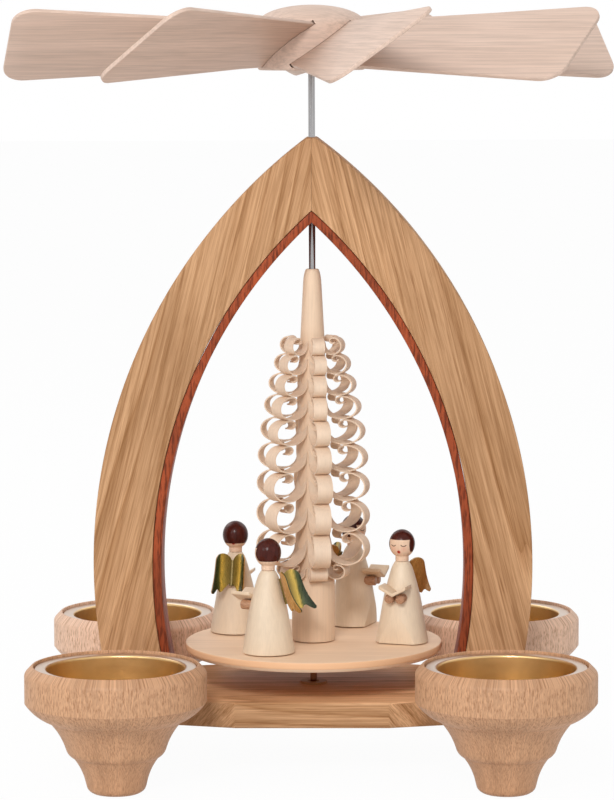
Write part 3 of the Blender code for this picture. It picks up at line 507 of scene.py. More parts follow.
def brass_finish(name, colour, rim):
    """Spun brass with fine turning lines, and a paler brushed flange from the rim's level up."""
    made = Finish(name)
    lines = made.noise(made.mapped(made.start, scale=(0.02, 0.02, 1.0)), 3200.0, 3.0, 0.6)
    cloud = made.noise(made.start, 160.0)
    tone = made.tones(cloud, 0.3, 0.7, shade(colour, 0.90), shade(colour, 1.06))
    flange = made.between(made.parts(made.start)[2], rim, FAR, 0.00012)
    tone = made.mix(made.times(flange, 0.9), tone, FLANGE_TINT)
    made.bump(lines, 0.06, 0.0001)
    return made.surface(tone, made.ramp(lines, (0.3, 0.30), (0.7, 0.38)), Metallic=1.0)


STEEL_DARK, STEEL_LIGHT = (0.30, 0.295, 0.30), (0.44, 0.43, 0.43)
# Painted shade: the brown given to the rod below the stage, where it stands in shadow
UNDER_STAGE_SHADE = (0.40, 0.24, 0.13, 1.0)


def steel_finish(name, level):
    """Drawn steel rod with faint lengthwise lines, browned under a level as painted shade below the
    stage.
    """
    made = Finish(name)
    lines = made.grain(made.start, 0.02, 5000.0, 3.0, 0.6)
    tone = made.ramp(lines, (0.3, STEEL_DARK), (0.7, STEEL_LIGHT))
    # Painted shade: below the stage's underside the rod turns brown
    foot = made.between(made.parts(made.start)[2], -FAR, level, 0.002)
    tone = made.mix(foot, tone, UNDER_STAGE_SHADE)
    made.bump(lines, 0.05, 0.00005)
    return made.surface(tone, made.ramp(lines, (0.3, 0.16), (0.7, 0.26)), Metallic=1.0)


BEARING_DARK, BEARING_LIGHT = (0.42, 0.22, 0.09), (0.54, 0.30, 0.14)


def bearing_finish(name):
    """Brown clouded glass of the step bearing."""
    made = Finish(name)
    cloud = made.noise(made.start, 400.0)
    tone = made.ramp(cloud, (0.3, BEARING_DARK), (0.7, BEARING_LIGHT))
    return made.surface(tone, made.ramp(cloud, (0.3, 0.5), (0.7, 0.6)), Specular_IOR_Level=0.1)


def robe_finish(name, colour):
    """Cream glaze over wood whose upright grain shows through."""
    made = Finish(name)
    local = made.attribute("local")
    drift = made.grain(local, 0.15, 420.0)
    fibre = made.grain(local, 0.05, 2100.0, 4.0, 0.6)
    tone = made.tones(drift, 0.32, 0.68, shade(colour, 0.96, 1.01), shade(colour, 1.03))
    lines = made.ramp(fibre, (0.28, 0.94), (0.6, 1.01))
    made.bump(fibre, 0.07, 0.0001)
    colour_out = made.mix(1.0, tone, lines, "MULTIPLY")
    return made.surface(colour_out, made.ramp(fibre, (0.3, 0.52), (0.7, 0.42)))


# A painted face: distances aside and up from the middle of the head.
CHEEK_ASIDE, CHEEK_DROP, BLUSH = 0.00165, 0.0011, (0.78, 0.33, 0.24, 1.0)
MOUTH_DROP, MOUTH_RADIUS, MOUTH_RED = 0.00215, 0.00048, (0.40, 0.03, 0.015, 1.0)
MOUTH_GLOW = (0.80, 0.36, 0.27, 1.0)
LID_ASIDE, LID_RISE, LASH_DROP = 0.00155, 0.0005, 0.00045
LASH_INSIDE, LASH_OUTSIDE, LASH_BROWN = 0.00076, 0.00098, (0.04, 0.015, 0.008, 1.0)
TEMPLE_ASIDE, FRINGE_RISE, NAPE_DROP = 0.00305, 0.00150, 0.0023
FINE, COARSE = 0.00006, 0.00007  # soft borders of the brush


def face_finish(name, skin, hair, head_z):
    """Painted head: a dark bob with a straight fringe, shut eyes and a small round mouth."""
    made = Finish(name)
    local = made.attribute("local")
    x, y, z = made.parts(local)
    level = made.math("SUBTRACT", z, head_z)
    front = made.times(y, -1.0)
    aside = made.math("ABSOLUTE", x)
    fibre = made.grain(local, 0.08, 2000.0)
    tone = made.tones(fibre, 0.3, 0.7, shade(skin, 0.95), shade(skin, 1.05))
    cheek = made.distance(
        made.math("SUBTRACT", aside, CHEEK_ASIDE), made.math("ADD", level, CHEEK_DROP)
    )
    tone = made.mix(made.fade(cheek, 0.0012, 0.0002, 0.35), tone, BLUSH)
    lips = made.distance(x, made.math("ADD", level, MOUTH_DROP))
    tone = made.mix(made.fade(lips, 0.0011, 0.0005, 0.3), tone, MOUTH_GLOW)
    tone = made.mix(made.between(lips, -FAR, MOUTH_RADIUS, COARSE), tone, MOUTH_RED)
    lid_z = made.math("SUBTRACT", level, LID_RISE)
    lid = made.distance(made.math("SUBTRACT", aside, LID_ASIDE), lid_z)
    lash = made.between(lid, LASH_INSIDE, LASH_OUTSIDE, FINE)
    lash = made.times(lash, made.between(lid_z, -FAR, -LASH_DROP, FINE))
    tone = made.mix(lash, tone, LASH_BROWN)
    ahead = made.between(front, 0.0, FAR, 0.00001)
    facing = made.times(ahead, made.between(aside, -FAR, TEMPLE_ASIDE, FINE))
    facing = made.times(facing, made.between(level, -FAR, FRINGE_RISE, FINE))
    covered = made.between(level, -NAPE_DROP, FAR, COARSE)
    locks = made.times(covered, made.inverse(facing))
    strand = made.grain(local, 0.2, 1500.0, 2.0)
    dark = made.tones(strand, 0.3, 0.7, shade(hair, 0.8), shade(hair, 1.3))
    colour_out = made.mix(locks, tone, dark)
    made.bump(fibre, 0.05, 0.00005)
    rough = made.ramp(locks, (0.0, 0.45), (1.0, 0.22))
    return made.surface(colour_out, rough, Specular_IOR_Level=0.16)


OCHRE_DARK, OCHRE_LIGHT = (0.40, 0.185, 0.04, 1.0), (0.62, 0.34, 0.10, 1.0)
WING_WIDTH = 0.0082


def gilt_finish(name, colour):
    """Bronze gilt: ochre on the wings' front; behind, olive gold with a painted highlight streak
    and a painted dark green reflection towards the outer edge.
    """
    made = Finish(name)
    x, _, z = made.parts(made.attribute("leaf"))
    behind = made.between(z, -FAR, 0.0, 0.0001)
    streak = made.grain(made.attribute("local"), 0.18, 1300.0, 3.0, 0.55)
    drift = made.times(streak, 0.12)
    # Painted reflection: a bright highlight streak across the width, then a dark green reflection
    # towards the outer edge
    outer = made.ramp(
        made.math("MULTIPLY_ADD", x, 1 / WING_WIDTH, drift),
        (0.05, shade(colour, 0.45)), (0.32, shade(colour, 0.75)), (0.52, shade(colour, 1.9)),
        (0.62, (0.07, 0.08, 0.02)), (0.74, (0.022, 0.032, 0.008)), (1.0, (0.012, 0.020, 0.005)),
    )
    inner = made.tones(streak, 0.3, 0.7, OCHRE_DARK, OCHRE_LIGHT)
    made.bump(streak, 0.10, 0.0001)
    rough = made.ramp(streak, (0.3, 0.34), (0.7, 0.24))
    return made.surface(made.mix(behind, inner, outer), rough, Metallic=0.4)


HAND_DARK, HAND_LIGHT = (0.30, 0.135, 0.065), (0.56, 0.31, 0.18)


def hand_finish(name):
    """Brown end grain of the small dowels that are the hands."""
    made = Finish(name)
    local = made.mapped(made.attribute("local"), scale=(1, 0.3, 1))
    dots = made.noise(local, 2600.0, 3.0, 0.6)
    tone = made.ramp(dots, (0.3, HAND_DARK), (0.7, HAND_LIGHT))
    made.bump(dots, 0.08, 0.0001)
    return made.surface(tone, made.ramp(dots, (0.3, 0.55), (0.7, 0.45)))


# Cups and inserts

TURNING_STEPS = 96
CUP_LIP = 0.0005
CUP_CHAMFER = 0.0022
CUP_BAND_Z = 0.0268
CUP_CURVES = (  # below the band: end of each curve, its bulge and steps
    ((0.0195, 0.0214), -0.0007, 10),
    ((0.0145, 0.0128), 0.0006, 12),
    ((0.0125, 0.0106), -0.0003, 6),
    ((0.0089, 0.0030), 0.0005, 10),
)
CUP_FOOT = ((0.0084, 0.0010, 0.0012), (0.0068, 0.0, 0.0005), (0.0, 0.0, 0.0))


def cup_profile(sizes, height):
    """Inner and outer profile of a cup that is height tall."""
    seat = height - sizes.recess - sizes.sheet - GAP
    floor = seat - sizes.depth
    pocket = sizes.opening + sizes.sheet + GAP
    rebate = sizes.flange + GAP
    points = eased([
        (0.0, floor, 0.0), (pocket, floor, 0.0), (pocket, seat, 0.0002), (rebate, seat, 0.0),
        (rebate, height, 0.0002), (rebate + CUP_LIP, height, 0.0003),
        (sizes.radius, height - CUP_CHAMFER, 0.0008), (sizes.radius, CUP_BAND_Z, 0.0),
    ])
    start = (sizes.radius, CUP_BAND_Z)
    for end, sag, steps in CUP_CURVES:
        points += bow(start, end, sag, steps)[1:]
        start = end
    return points + eased([(*start, 0.0), *CUP_FOOT])[1:]


def keep_turned(shape, radius):
    """Stores each point rolled onto one cylinder, so that grain follows the turned profile."""
    layer = shape.verts.layers.float_vector.new("grain")
    for vert in shape.verts:
        flat = Vector((vert.co.x, vert.co.y, 0))
        around = flat.normalized() * radius
        vert[layer] = (around.x, around.y, vert.co.z + flat.length)


class CAROUSEL_OT_cups(bpy.types.Operator):
    """Turns the beech candle cups that the object stands on"""

    bl_idname = "carousel.cups"
    bl_label = "Candle Cups"

    def execute(self, context):
        sizes = context.scene.carousel.cups
        woods = {
            "front": beech_finish("turned_beech", sizes.beech),
            # Painted light: the cups behind take the paler, brightly lit copy of the beech
            "back": beech_finish("lit_beech", sizes.lit_beech),
        }
        dowel = linden_finish("dowel_beech", sizes.beech, grain=0.9)
        for place in PLACES:
            node = "cup_" + place
            x, y, low, high = middle(node)
            shape = turned(cup_profile(sizes, high - low), TURNING_STEPS)
            keep_turned(shape, sizes.radius)
            bmesh.ops.translate(shape, verts=shape.verts, vec=(x, y, low))
            wood = woods[place.split("_")[0]]
            add_piece("candle_" + node, shape, wood, "frame", [node], crease=11)
            paint_node("cup_dowel_" + place, dowel)
        for _, word in SIDES:
            paint_node("leg_dowel_" + word, dowel)
        return {"FINISHED"}


class CAROUSEL_OT_inserts(bpy.types.Operator):
    """Spins the brass tea light inserts"""

    bl_idname = "carousel.inserts"
    bl_label = "Brass Inserts"

    def execute(self, context):
        sizes = context.scene.carousel.cups
        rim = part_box("insert_front_left")[1][2] - 0.0002
        brass = brass_finish("spun_brass", sizes.brass, rim)
        outer = sizes.opening + sizes.sheet
        for place in PLACES:
            node = "insert_" + place
            x, y, low, high = middle(node)
            floor, under = low + sizes.sheet, high - sizes.sheet
            profile = eased([
                (0.0, floor, 0.0), (sizes.opening, floor, 0.0020), (sizes.opening, high, 0.0009),
                (sizes.flange, high, 0.0003), (sizes.flange, under, 0.0002),
                (outer, under, 0.0002), (outer, low, 0.0016), (0.0, low, 0.0),
            ], 6)
            shape = turned(profile, TURNING_STEPS)
            bmesh.ops.translate(shape, verts=shape.verts, vec=(x, y, 0))
            add_piece("brass_" + place, shape, brass, node, [node], crease=40)
        paint_node("guide_bush", brass)
        return {"FINISHED"}


# Arch and plate

ARCH_STEPS = 72
ASH_LEAN = math.radians(14)
ASH_SHIFT = (0.02, 0.03, 0.1)
LINING_EDGE = 0.0003
PLATE_SLANT = math.radians(15)


def arched_board(side, outer, inner, low, top, depth):
    """Half a pointed board between two curves (radius, offset, height) on one side.

    Where top is given, the point is cut flat at that height."""
    shape = bmesh.new()
    chains = []
    for curve in (outer, inner):
        radius, offset, level = curve
        first = math.asin((low - level) / radius)
        last = math.acos((offset + JOINT) / radius)
        if top and curve == outer:
            last = math.asin((top - level) / radius)
        before = set(shape.edges)
        start = (side * (radius * math.cos(first) - offset), -depth / 2, low)
        made = bmesh.ops.spin(
            shape, geom=[shape.verts.new(start)], cent=(-side * offset, 0, level), axis=(0, 1, 0),
            angle=-side * (last - first), steps=ARCH_STEPS, use_duplicate=False,
        )["geom_last"]
        end = of_kind(made, bmesh.types.BMVert)[0]
        if top:
            tip = bmesh.ops.extrude_vert_indiv(shape, verts=[end])["verts"][0]
            tip.co = (side * JOINT, -depth / 2, end.co.z if chains else top)
        chains.append([edge for edge in shape.edges if edge not in before])
    bmesh.ops.bridge_loops(shape, edges=chains[0] + chains[1])
    bmesh.ops.dissolve_degenerate(shape, dist=MERGE, edges=shape.edges)
    thicken(shape, (0, depth, 0))
    return shape


class CAROUSEL_OT_arch(bpy.types.Operator):
    """Saws the pointed arch with its red lining and the base plate"""

    bl_idname = "carousel.arch"
    bl_label = "Arch and Base"

    def execute(self, context):
        sizes = context.scene.carousel.arch
        red = lining_finish("red_lining", sizes.lining_colour)
        outer = (sizes.outer_radius, sizes.outer_offset, sizes.outer_z)
        inner = (sizes.inner_radius, sizes.inner_offset, sizes.inner_z)
        seam = (sizes.inner_radius + sizes.lining, sizes.inner_offset, sizes.inner_z)
        back = (seam[0] - GAP / 3, seam[1], seam[2])
        for side, word in SIDES:
            low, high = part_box("arch_" + word)
            shift = (ASH_SHIFT[0] * side, ASH_SHIFT[1], ASH_SHIFT[2] * side)
            wood = ash_finish("ash_" + word, sizes.ash, (0, ASH_LEAN * side, 0), shift)
            board = arched_board(side, outer, seam, low[2], high[2], high[1] - low[1])
            ease_edges(board, sizes.edge)
            add_piece("arch_board_" + word, board, wood, "frame", ["arch_" + word])
            low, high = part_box("lining_" + word)
            strip = arched_board(side, back, inner, low[2], 0.0, high[1] - low[1])
            ease_edges(strip, LINING_EDGE)
            add_piece("red_lining_" + word, strip, red, "frame", ["lining_" + word])
        self.add_plate(sizes)
        return {"FINISHED"}

    def add_plate(self, sizes):
        low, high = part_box("base_plate")
        end = high[1] - (high[0] - sizes.front_half) * math.tan(PLATE_SLANT)
        quarter = [(sizes.front_half, high[1]), (high[0], end)]
        half = quarter + [(x, -y) for x, y in reversed(quarter)]
        outline = half + [(-x, y) for x, y in reversed(half)]
        shape = bmesh.new()
        shape.faces.new([shape.verts.new((x, y, low[2])) for x, y in outline])
        thicken(shape, (0, 0, high[2] - low[2]))
        ease_edges(shape, sizes.edge, 3, 10)
        wood = ash_finish("ash_plate", sizes.ash, (0, 0, 0), board=(sizes.front_half, high[2]))
        add_piece("base_board", shape, wood, "frame", ["base_plate"], crease=40)


# Shaft, stage and tree

SHAFT_RADIUS, SHAFT_POINT = 0.001, 0.0025
STAGE_CHAMFER = 0.0012
STAGE_STEPS, STEM_STEPS, SHAFT_STEPS = 144, 64, 40
STEM_TOP, STEM_BOTTOM, STEM_FOOT = 0.0036, 0.0054, 0.0065
FIRST_PITCH, PITCH_STEP, LAST_PITCH = 0.0052, 0.0006, 0.0045
FIRST_REACH, MORE_REACH, LAST_REACH = 0.0094, 0.0075, 0.0105
FULL_TIER = 6.5  # tier from which the shavings reach furthest
CURL_POINTS = 64
CURL_FILL = 0.95  # share of a tier's height that its shavings fill
CURL_TIP, CURL_TIGHTEN, CURL_SPIRAL = 0.20, 0.95, 0.05
ROOT_SHARE, ROOT_RISE = 0.82, 0.7
SHAVING_WIDTH, SHAVING_TAPER, SHAVING_GLOW = 0.96, 0.5, 0.22
OPEN_DEGREES, END_DEGREES, TURN_PLAY = (228, 248), (470, 560), (-0.03, 0.03)


def tier_pitch(tier, tiers):
    """Height of a tier, counted from the top."""
    return LAST_PITCH if tier == tiers else FIRST_PITCH + PITCH_STEP * tier


def tier_bottom(tier, sizes):
    """Level of a tier's lower end."""
    return sizes.spire_base - sum(tier_pitch(i, sizes.tiers) for i in range(tier + 1))


def tier_reach(tier, tiers):
    """How far a tier's shavings stand out from the axis."""
    if tier == tiers:
        return LAST_REACH
    return FIRST_REACH + MORE_REACH * math.sin(QUARTER * min(1.0, tier / FULL_TIER))


def stem_radius(height, sizes):
    """The stem's radius at a level."""
    low = tier_bottom(sizes.tiers, sizes)
    share = (sizes.spire_base - height) / (sizes.spire_base - low)
    return STEM_TOP + (STEM_BOTTOM - STEM_TOP) * share


def unit_curl(open_angle, end_angle):
    """A shaving's line before it is sized: down the stem, out, up and over, then hooked in."""
    line = [Vector((0.0, 0.0))]
    for i in range(CURL_POINTS):
        angle = end_angle * (i + 0.5) / CURL_POINTS
        past = max(0.0, angle - open_angle)
        hook = CURL_TIP + (1 - CURL_TIP) * math.exp(-CURL_TIGHTEN * past)
        step = hook * math.exp(-CURL_SPIRAL * angle) * end_angle / CURL_POINTS
        line.append(line[-1] + Vector((math.sin(angle), -math.cos(angle))) * step)
    return line


def curl_path(tier, sizes, open_angle, end_angle):
    """A shaving's line as (radius, height), sized to fill its tier."""
    unit = unit_curl(open_angle, end_angle)
    bottom = tier_bottom(tier, sizes)
    fill = tier_pitch(tier, sizes.tiers) * CURL_FILL
    stem = stem_radius(bottom + fill, sizes)
    lowest = min(point.y for point in unit)
    highest = max(point.y for point in unit)
    wide = (tier_reach(tier, sizes.tiers) - stem) / max(point.x for point in unit)
    high = (fill - sizes.thickness) / (highest - lowest)
    path = [
        (stem + point.x * wide, bottom + (point.y - lowest) * high + sizes.thickness / 2)
        for point in unit
    ]
    return [(stem * ROOT_SHARE, path[0][1] + ROOT_RISE * high)] + path


def add_shaving(shape, path, width, thickness, turn):
    """A thin ribbon drawn along a path and thickened."""
    known = set(shape.verts)
    strip = [shape.verts.new((path[0][0], s * width / 2, path[0][1])) for s in (-1, 1)]
    edge = shape.edges.new(strip)
    faces = []
    for i, (before, after) in enumerate(zip(path, path[1:])):
        made = bmesh.ops.extrude_edge_only(shape, edges=[edge])["geom"]
        edges = of_kind(made, bmesh.types.BMEdge)
        edge = [item for item in edges if all(vert not in strip for vert in item.verts)][0]
        strip = list(edge.verts)
        faces += of_kind(made, bmesh.types.BMFace)
        step = (after[0] - before[0], 0, after[1] - before[1])
        bmesh.ops.translate(shape, verts=strip, vec=step)
        narrow = 1.0 - SHAVING_TAPER * max(0.0, 2 * i / len(path) - 1)
        for vert in strip:
            vert.co.y = math.copysign(width / 2 * narrow, vert.co.y)
    bmesh.ops.solidify(shape, geom=faces, thickness=thickness)
    fresh = [vert for vert in shape.verts if vert not in known]
    bmesh.ops.rotate(shape, verts=fresh, cent=(0, 0, 0), matrix=Matrix.Rotation(turn, 3, "Z"))


class CAROUSEL_OT_spindle(bpy.types.Operator):
    """Makes the steel shaft, the round stage and the step bearing's glass"""

    bl_idname = "carousel.spindle"
    bl_label = "Shaft and Stage"

    def execute(self, context):
        sizes = context.scene.carousel.tree
        corner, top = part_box("stage")
        _, _, low, high = middle("shaft")
        profile = eased([
            (0.0, high, 0.0), (SHAFT_RADIUS, high, 0.0003),
            (SHAFT_RADIUS, low + SHAFT_POINT, 0.0003), (0.0, low, 0.0),
        ])
        steel = steel_finish("drawn_steel", corner[2])
        add_piece("steel_shaft", turned(profile, SHAFT_STEPS), steel, "spindle", ["shaft"])
        radius = top[0]
        profile = eased([
            (BORE, top[2], 0.0), (radius, top[2], 0.0006),
            (radius, corner[2] + STAGE_CHAMFER, 0.0004),
            (radius - STAGE_CHAMFER, corner[2], 0.0004),
            (BORE, corner[2], 0.0), (BORE, top[2], 0.0),
        ])
        wood = linden_finish(
            "stage_wood", shade(sizes.linden, 0.96, 1.08), (0, QUARTER, 0), 0.3, rim=radius - 0.0002
        )
        add_piece("round_stage", turned(profile, STAGE_STEPS), wood, "spindle", ["stage"])
        paint_node("pivot_bearing", bearing_finish("bearing_glass"))
        return {"FINISHED"}


class CAROUSEL_OT_tree(bpy.types.Operator):
    """Turns the tree's stem and shaves its curls"""

    bl_idname = "carousel.tree"
    bl_label = "Curled Tree"

    def execute(self, context):
        sizes = context.scene.carousel.tree
        _, _, bottom, top = middle("curl_tree")
        low = tier_bottom(sizes.tiers, sizes)
        profile = eased([
            (BORE, top, 0.0), (0.0020, top, 0.0010), (0.00265, top - 0.0024, 0.0022),
            (STEM_TOP, sizes.spire_base, 0.0), (STEM_BOTTOM, low, 0.0004),
            (STEM_FOOT, low - 0.0011, 0.0004), (STEM_FOOT, bottom, 0.0002),
            (BORE, bottom, 0.0), (BORE, top, 0.0),
        ])
        wood = linden_finish("tree_wood", shade(sizes.linden, 0.87, 1.05), grain=0.3)
        # Painted light: the shavings take a paler copy of the tree's linden, lifting the shade
        # between the curls
        thin = linden_finish(
            "lit_shaving_wood", shade(sizes.linden, 1.08, 0.97), grain=0.3, through=SHAVING_GLOW
        )
        stem = turned(profile, STEM_STEPS)
        add_piece("tree_stem", stem, wood, "spindle", ["curl_tree"])
        shape = bmesh.new()
        chance = random.Random(7)
        for tier in range(sizes.tiers + 1):
            width = stem_radius(tier_bottom(tier, sizes), sizes) * SHAVING_WIDTH
            for column in range(sizes.columns):
                open_angle = math.radians(chance.uniform(*OPEN_DEGREES))
                end_angle = math.radians(chance.uniform(*END_DEGREES))
                path = curl_path(tier, sizes, open_angle, end_angle)
                play = chance.uniform(*TURN_PLAY)
                turn = sizes.turn + math.tau * column / sizes.columns + play
                add_shaving(shape, path, width, sizes.thickness, turn)
        bmesh.ops.recalc_face_normals(shape, faces=shape.faces)
        add_piece("tree_shavings", shape, thin, "spindle", crease=50)
        return {"FINISHED"}


# Rotor

HUB_SIDE, HUB_ROUND, HUB_CREASE = 0.0136, 0.0009, 30
HUB_BORE_DEPTH = 0.0125
DOME_STEPS = 20
BLADE_SEAT = 0.0055  # how deep a blade sits in the hub
BLADE_EDGE = 0.00025
SLOT_LENGTH, SLOT_PLAY = 0.0116, (0.0003, 0.0002)


class CAROUSEL_OT_rotor(bpy.types.Operator):
    """Turns the domed hub, slots it and sets in the thin blades"""

    bl_idname = "carousel.rotor"
    bl_label = "Rotor"

    def execute(self, context):
        sizes = context.scene.carousel.rotor
        corner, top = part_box("rotor_hub")
        radius, foot, end = top[0], corner[2], corner[2] + HUB_BORE_DEPTH
        side = foot + HUB_SIDE
        dome = [(0.0, top[2])]
        for step in range(1, DOME_STEPS + 1):
            angle = QUARTER * step / DOME_STEPS
            dome.append((radius * math.sin(angle), side + (top[2] - side) * math.cos(angle)))
        below = eased([
            (radius, side, 0.0), (radius, foot, HUB_ROUND), (BORE, foot, 0.0), (BORE, end, 0.0),
            (0.0, end, 0.0),
        ])
        hub = turned(dome + below[1:], TURNING_STEPS)
        level = foot + HUB_SIDE / 2 + HUB_ROUND
        slot = (SLOT_LENGTH, sizes.root_chord + SLOT_PLAY[0], sizes.thickness + SLOT_PLAY[1])
        slots = bmesh.new()
        for index in range(sizes.blades):
            azimuth = sizes.turn + math.tau * index / sizes.blades
            turn = Matrix.Rotation(azimuth, 4, "Z") @ Matrix.Rotation(sizes.pitch, 4, "X")
            place = Matrix.Translation((0, 0, level)) @ turn
            made = bmesh.ops.create_cube(slots, size=1.0)["verts"]
            bmesh.ops.scale(slots, verts=made, vec=slot)
            bmesh.ops.translate(slots, verts=made, vec=(radius, 0, 0))
            bmesh.ops.transform(slots, verts=made, matrix=place)
            self.add_blade(sizes, radius, place, f"blade_{index + 1}", azimuth)
        wood = linden_finish("hub_wood", sizes.blade_wood, (0, QUARTER, 0.3), 0.8)
        piece = add_piece("rotor_dome", hub, wood, "rotor", ["rotor_hub"], HUB_CREASE)
        cut_from(piece, slots)
        return {"FINISHED"}

    def add_blade(self, sizes, radius, place, name, azimuth):
        root = radius - BLADE_SEAT
        slope = (sizes.tip_chord - sizes.root_chord) / 2 / (sizes.tip_radius - radius)
        half = sizes.root_chord / 2 - BLADE_SEAT * slope
        tip = sizes.tip_chord / 2
        shape = bmesh.new()
        corners = [(root, -half), (sizes.tip_radius, -tip), (sizes.tip_radius, tip), (root, half)]
        shape.faces.new([shape.verts.new((x, y, -sizes.thickness / 2)) for x, y in corners])
        outer = [vert for vert in shape.verts if vert.co.x > radius]
        bmesh.ops.bevel(
            shape, geom=outer, offset=sizes.corner, offset_type="OFFSET", affect="VERTICES",
            segments=10, profile=0.5, material=-1,
        )
        thicken(shape, (0, 0, sizes.thickness))
        ease_edges(shape, BLADE_EDGE)
        bmesh.ops.transform(shape, verts=shape.verts, matrix=place)
        wood = linden_finish(
            name + "_wood", sizes.blade_wood, (0, QUARTER, azimuth), 0.75, 0.9, kind="TEXTURE"
        )
        add_piece("thin_" + name, shape, wood, "rotor", [name], crease=40)


def cut_from(piece, cutter_shape):
    """Cuts a shape out of a piece for good."""
    mesh = bpy.data.meshes.new("cutter")
    cutter_shape.to_mesh(mesh)
    cutter_shape.free()
    cutter = bpy.data.objects.new("cutter", mesh)
    bpy.context.scene.collection.objects.link(cutter)
    modifier = piece.modifiers.new("slots", "BOOLEAN")
    modifier.operation = "DIFFERENCE"
    modifier.solver = "EXACT"
    modifier.object = cutter
    graph = bpy.context.evaluated_depsgraph_get()
    done = bpy.data.meshes.new_from_object(piece.evaluated_get(graph))
    piece.modifiers.clear()
    piece.data = done
    smooth(done, HUB_CREASE)
    bpy.data.objects.remove(cutter)


# Angels, each in its own frame: it faces -Y and stands on z = 0

# Which way each angel faces, in degrees from +X.
HEADINGS = (("back_left", 81), ("front_left", 152), ("back_right", -20), ("front_right", -108))
ROBE_TOP, NECK_RADIUS, NECK_FOOT = 0.0245, 0.0020, 0.0246
WAIST, CHEST = (0.0055, 0.0140), (0.0041, 0.0193)
ROBE_PROFILE = (
    (0.0, ROBE_TOP, 0.0), (NECK_RADIUS, ROBE_TOP, 0.0004), (0.00305, 0.0228, 0.0010),
    (*CHEST, 0.0016), (*WAIST, 0.0025), (0.0079, 0.0, 0.0003), (0.0, 0.0, 0.0),
)
FRONT_Y, FRONT_LEAN, FRONT_EDGE = 0.0056, math.radians(7), 0.00018
HEAD_HALF_HEIGHT, HEAD_STEPS = 0.0043, 30
ROBE_TURNING, HEAD_TURNING = 64, 56
HAND_RADIUS, HAND_LENGTH, HAND_ASIDE, HAND_Z, HAND_EDGE = 0.0014, 0.0036, 0.0017, 0.0139, 0.00035
BOOK_RISE, BOOK_SHEET, BOOK_EDGE = math.radians(28), 0.0009, 0.00016
BOOK_HALF, BOOK_DEPTH = 0.0042, 0.0062
WING_HEIGHT, WING_SHEET = 0.0130, 0.0006
WING_CROWN, CROWN_RADIUS, CROWN_STEPS = WING_WIDTH * 0.38, WING_WIDTH * 0.34, 12
WING_TAIL = (  # shares of the width and height, from the crown's outer end round to its inner
    (0.745, -0.42), (0.775, -0.54), (0.83, -0.68), (0.91, -0.82), (1.0, -0.95), (0.97, -0.995),
    (0.90, -1.0), (0.78, -0.94), (0.66, -0.865), (0.58, -0.87), (0.50, -0.925), (0.42, -0.90),
    (0.28, -0.80), (0.10, -0.68), (0.0, -0.60), (0.0, -0.45), (0.0, -0.31),
)
WING_CUP, WING_FLARE, FLARE_START = 0.0010, 0.0016, 0.35
WING_LEAN, WING_SPREAD = math.radians(16), math.radians(39)
WING_LOW = ROBE_TOP - WING_HEIGHT * 0.62
SPINE_RADIUS, SPINE_LENGTH, SPINE_Z, SPINE_ROOM = 0.0008, 0.0078, -0.0058, 0.0009


def keep_local(shape):
    """Stores where each point lies before the piece is put in its place."""
    layer = shape.verts.layers.float_vector.new("local")
    for vert in shape.verts:
        vert[layer] = vert.co


def robe_flat(height):
    """How far forward the robe's flat front stands at a height."""
    return FRONT_Y - height * math.tan(FRONT_LEAN)


def robe_shape():
    """A turned robe with a flat leaning front."""
    shape = turned(eased(ROBE_PROFILE, 5), ROBE_TURNING)
    cut = bmesh.ops.bisect_plane(
        shape, geom=list(shape.verts) + list(shape.edges) + list(shape.faces),
        plane_co=(0, -FRONT_Y, 0), plane_no=(0, -math.cos(FRONT_LEAN), -math.sin(FRONT_LEAN)),
        clear_outer=True,
    )["geom_cut"]
    bmesh.ops.holes_fill(shape, edges=of_kind(cut, bmesh.types.BMEdge), sides=0)
    close_up(shape)
    ease_edges(shape, FRONT_EDGE, 2, 25)
    return shape


def head_shape(sizes):
    """A round head that runs into its neck."""
    neck = math.acos(NECK_RADIUS / sizes.head_radius)
    profile = [(0.0, sizes.head_z + HEAD_HALF_HEIGHT)]
    for step in range(1, HEAD_STEPS + 1):
        angle = QUARTER - (QUARTER + neck) * step / HEAD_STEPS
        level = sizes.head_z + HEAD_HALF_HEIGHT * math.sin(angle)
        profile.append((sizes.head_radius * math.cos(angle), level))
    return turned(profile + [(NECK_RADIUS, NECK_FOOT), (0.0, NECK_FOOT)], HEAD_TURNING)


def hand_shape(side):
    """A short dowel that stands out of the robe's front."""
    shape = bmesh.new()
    start = robe_flat(HAND_Z - HAND_RADIUS) + GAP
    place = Matrix.Translation((side * HAND_ASIDE, -start - HAND_LENGTH / 2, HAND_Z))
    bmesh.ops.create_cone(
        shape, cap_ends=True, segments=28, radius1=HAND_RADIUS, radius2=HAND_RADIUS,
        depth=HAND_LENGTH, matrix=place @ Matrix.Rotation(QUARTER, 4, "X"),
    )
    ease_edges(shape, HAND_EDGE, 4)
    return shape


def book_shape():
    """An open book: two boards that rise from the spine and rest on the hands."""
    rise = math.tan(BOOK_RISE)
    thick = BOOK_SHEET / math.cos(BOOK_RISE)
    level = HAND_Z + (HAND_RADIUS + GAP) / math.cos(BOOK_RISE) - rise * HAND_ASIDE
    start = robe_flat(level) + GAP
    line = [(-BOOK_HALF, BOOK_HALF * rise), (0.0, 0.0), (BOOK_HALF, BOOK_HALF * rise)]
    corners = line + [(x, z + thick) for x, z in reversed(line)]
    shape = bmesh.new()
    shape.faces.new([shape.verts.new((x, -start, z + level)) for x, z in corners])
    thicken(shape, (0, -BOOK_DEPTH, 0))
    ease_edges(shape, BOOK_EDGE, 2, 20)
    return shape


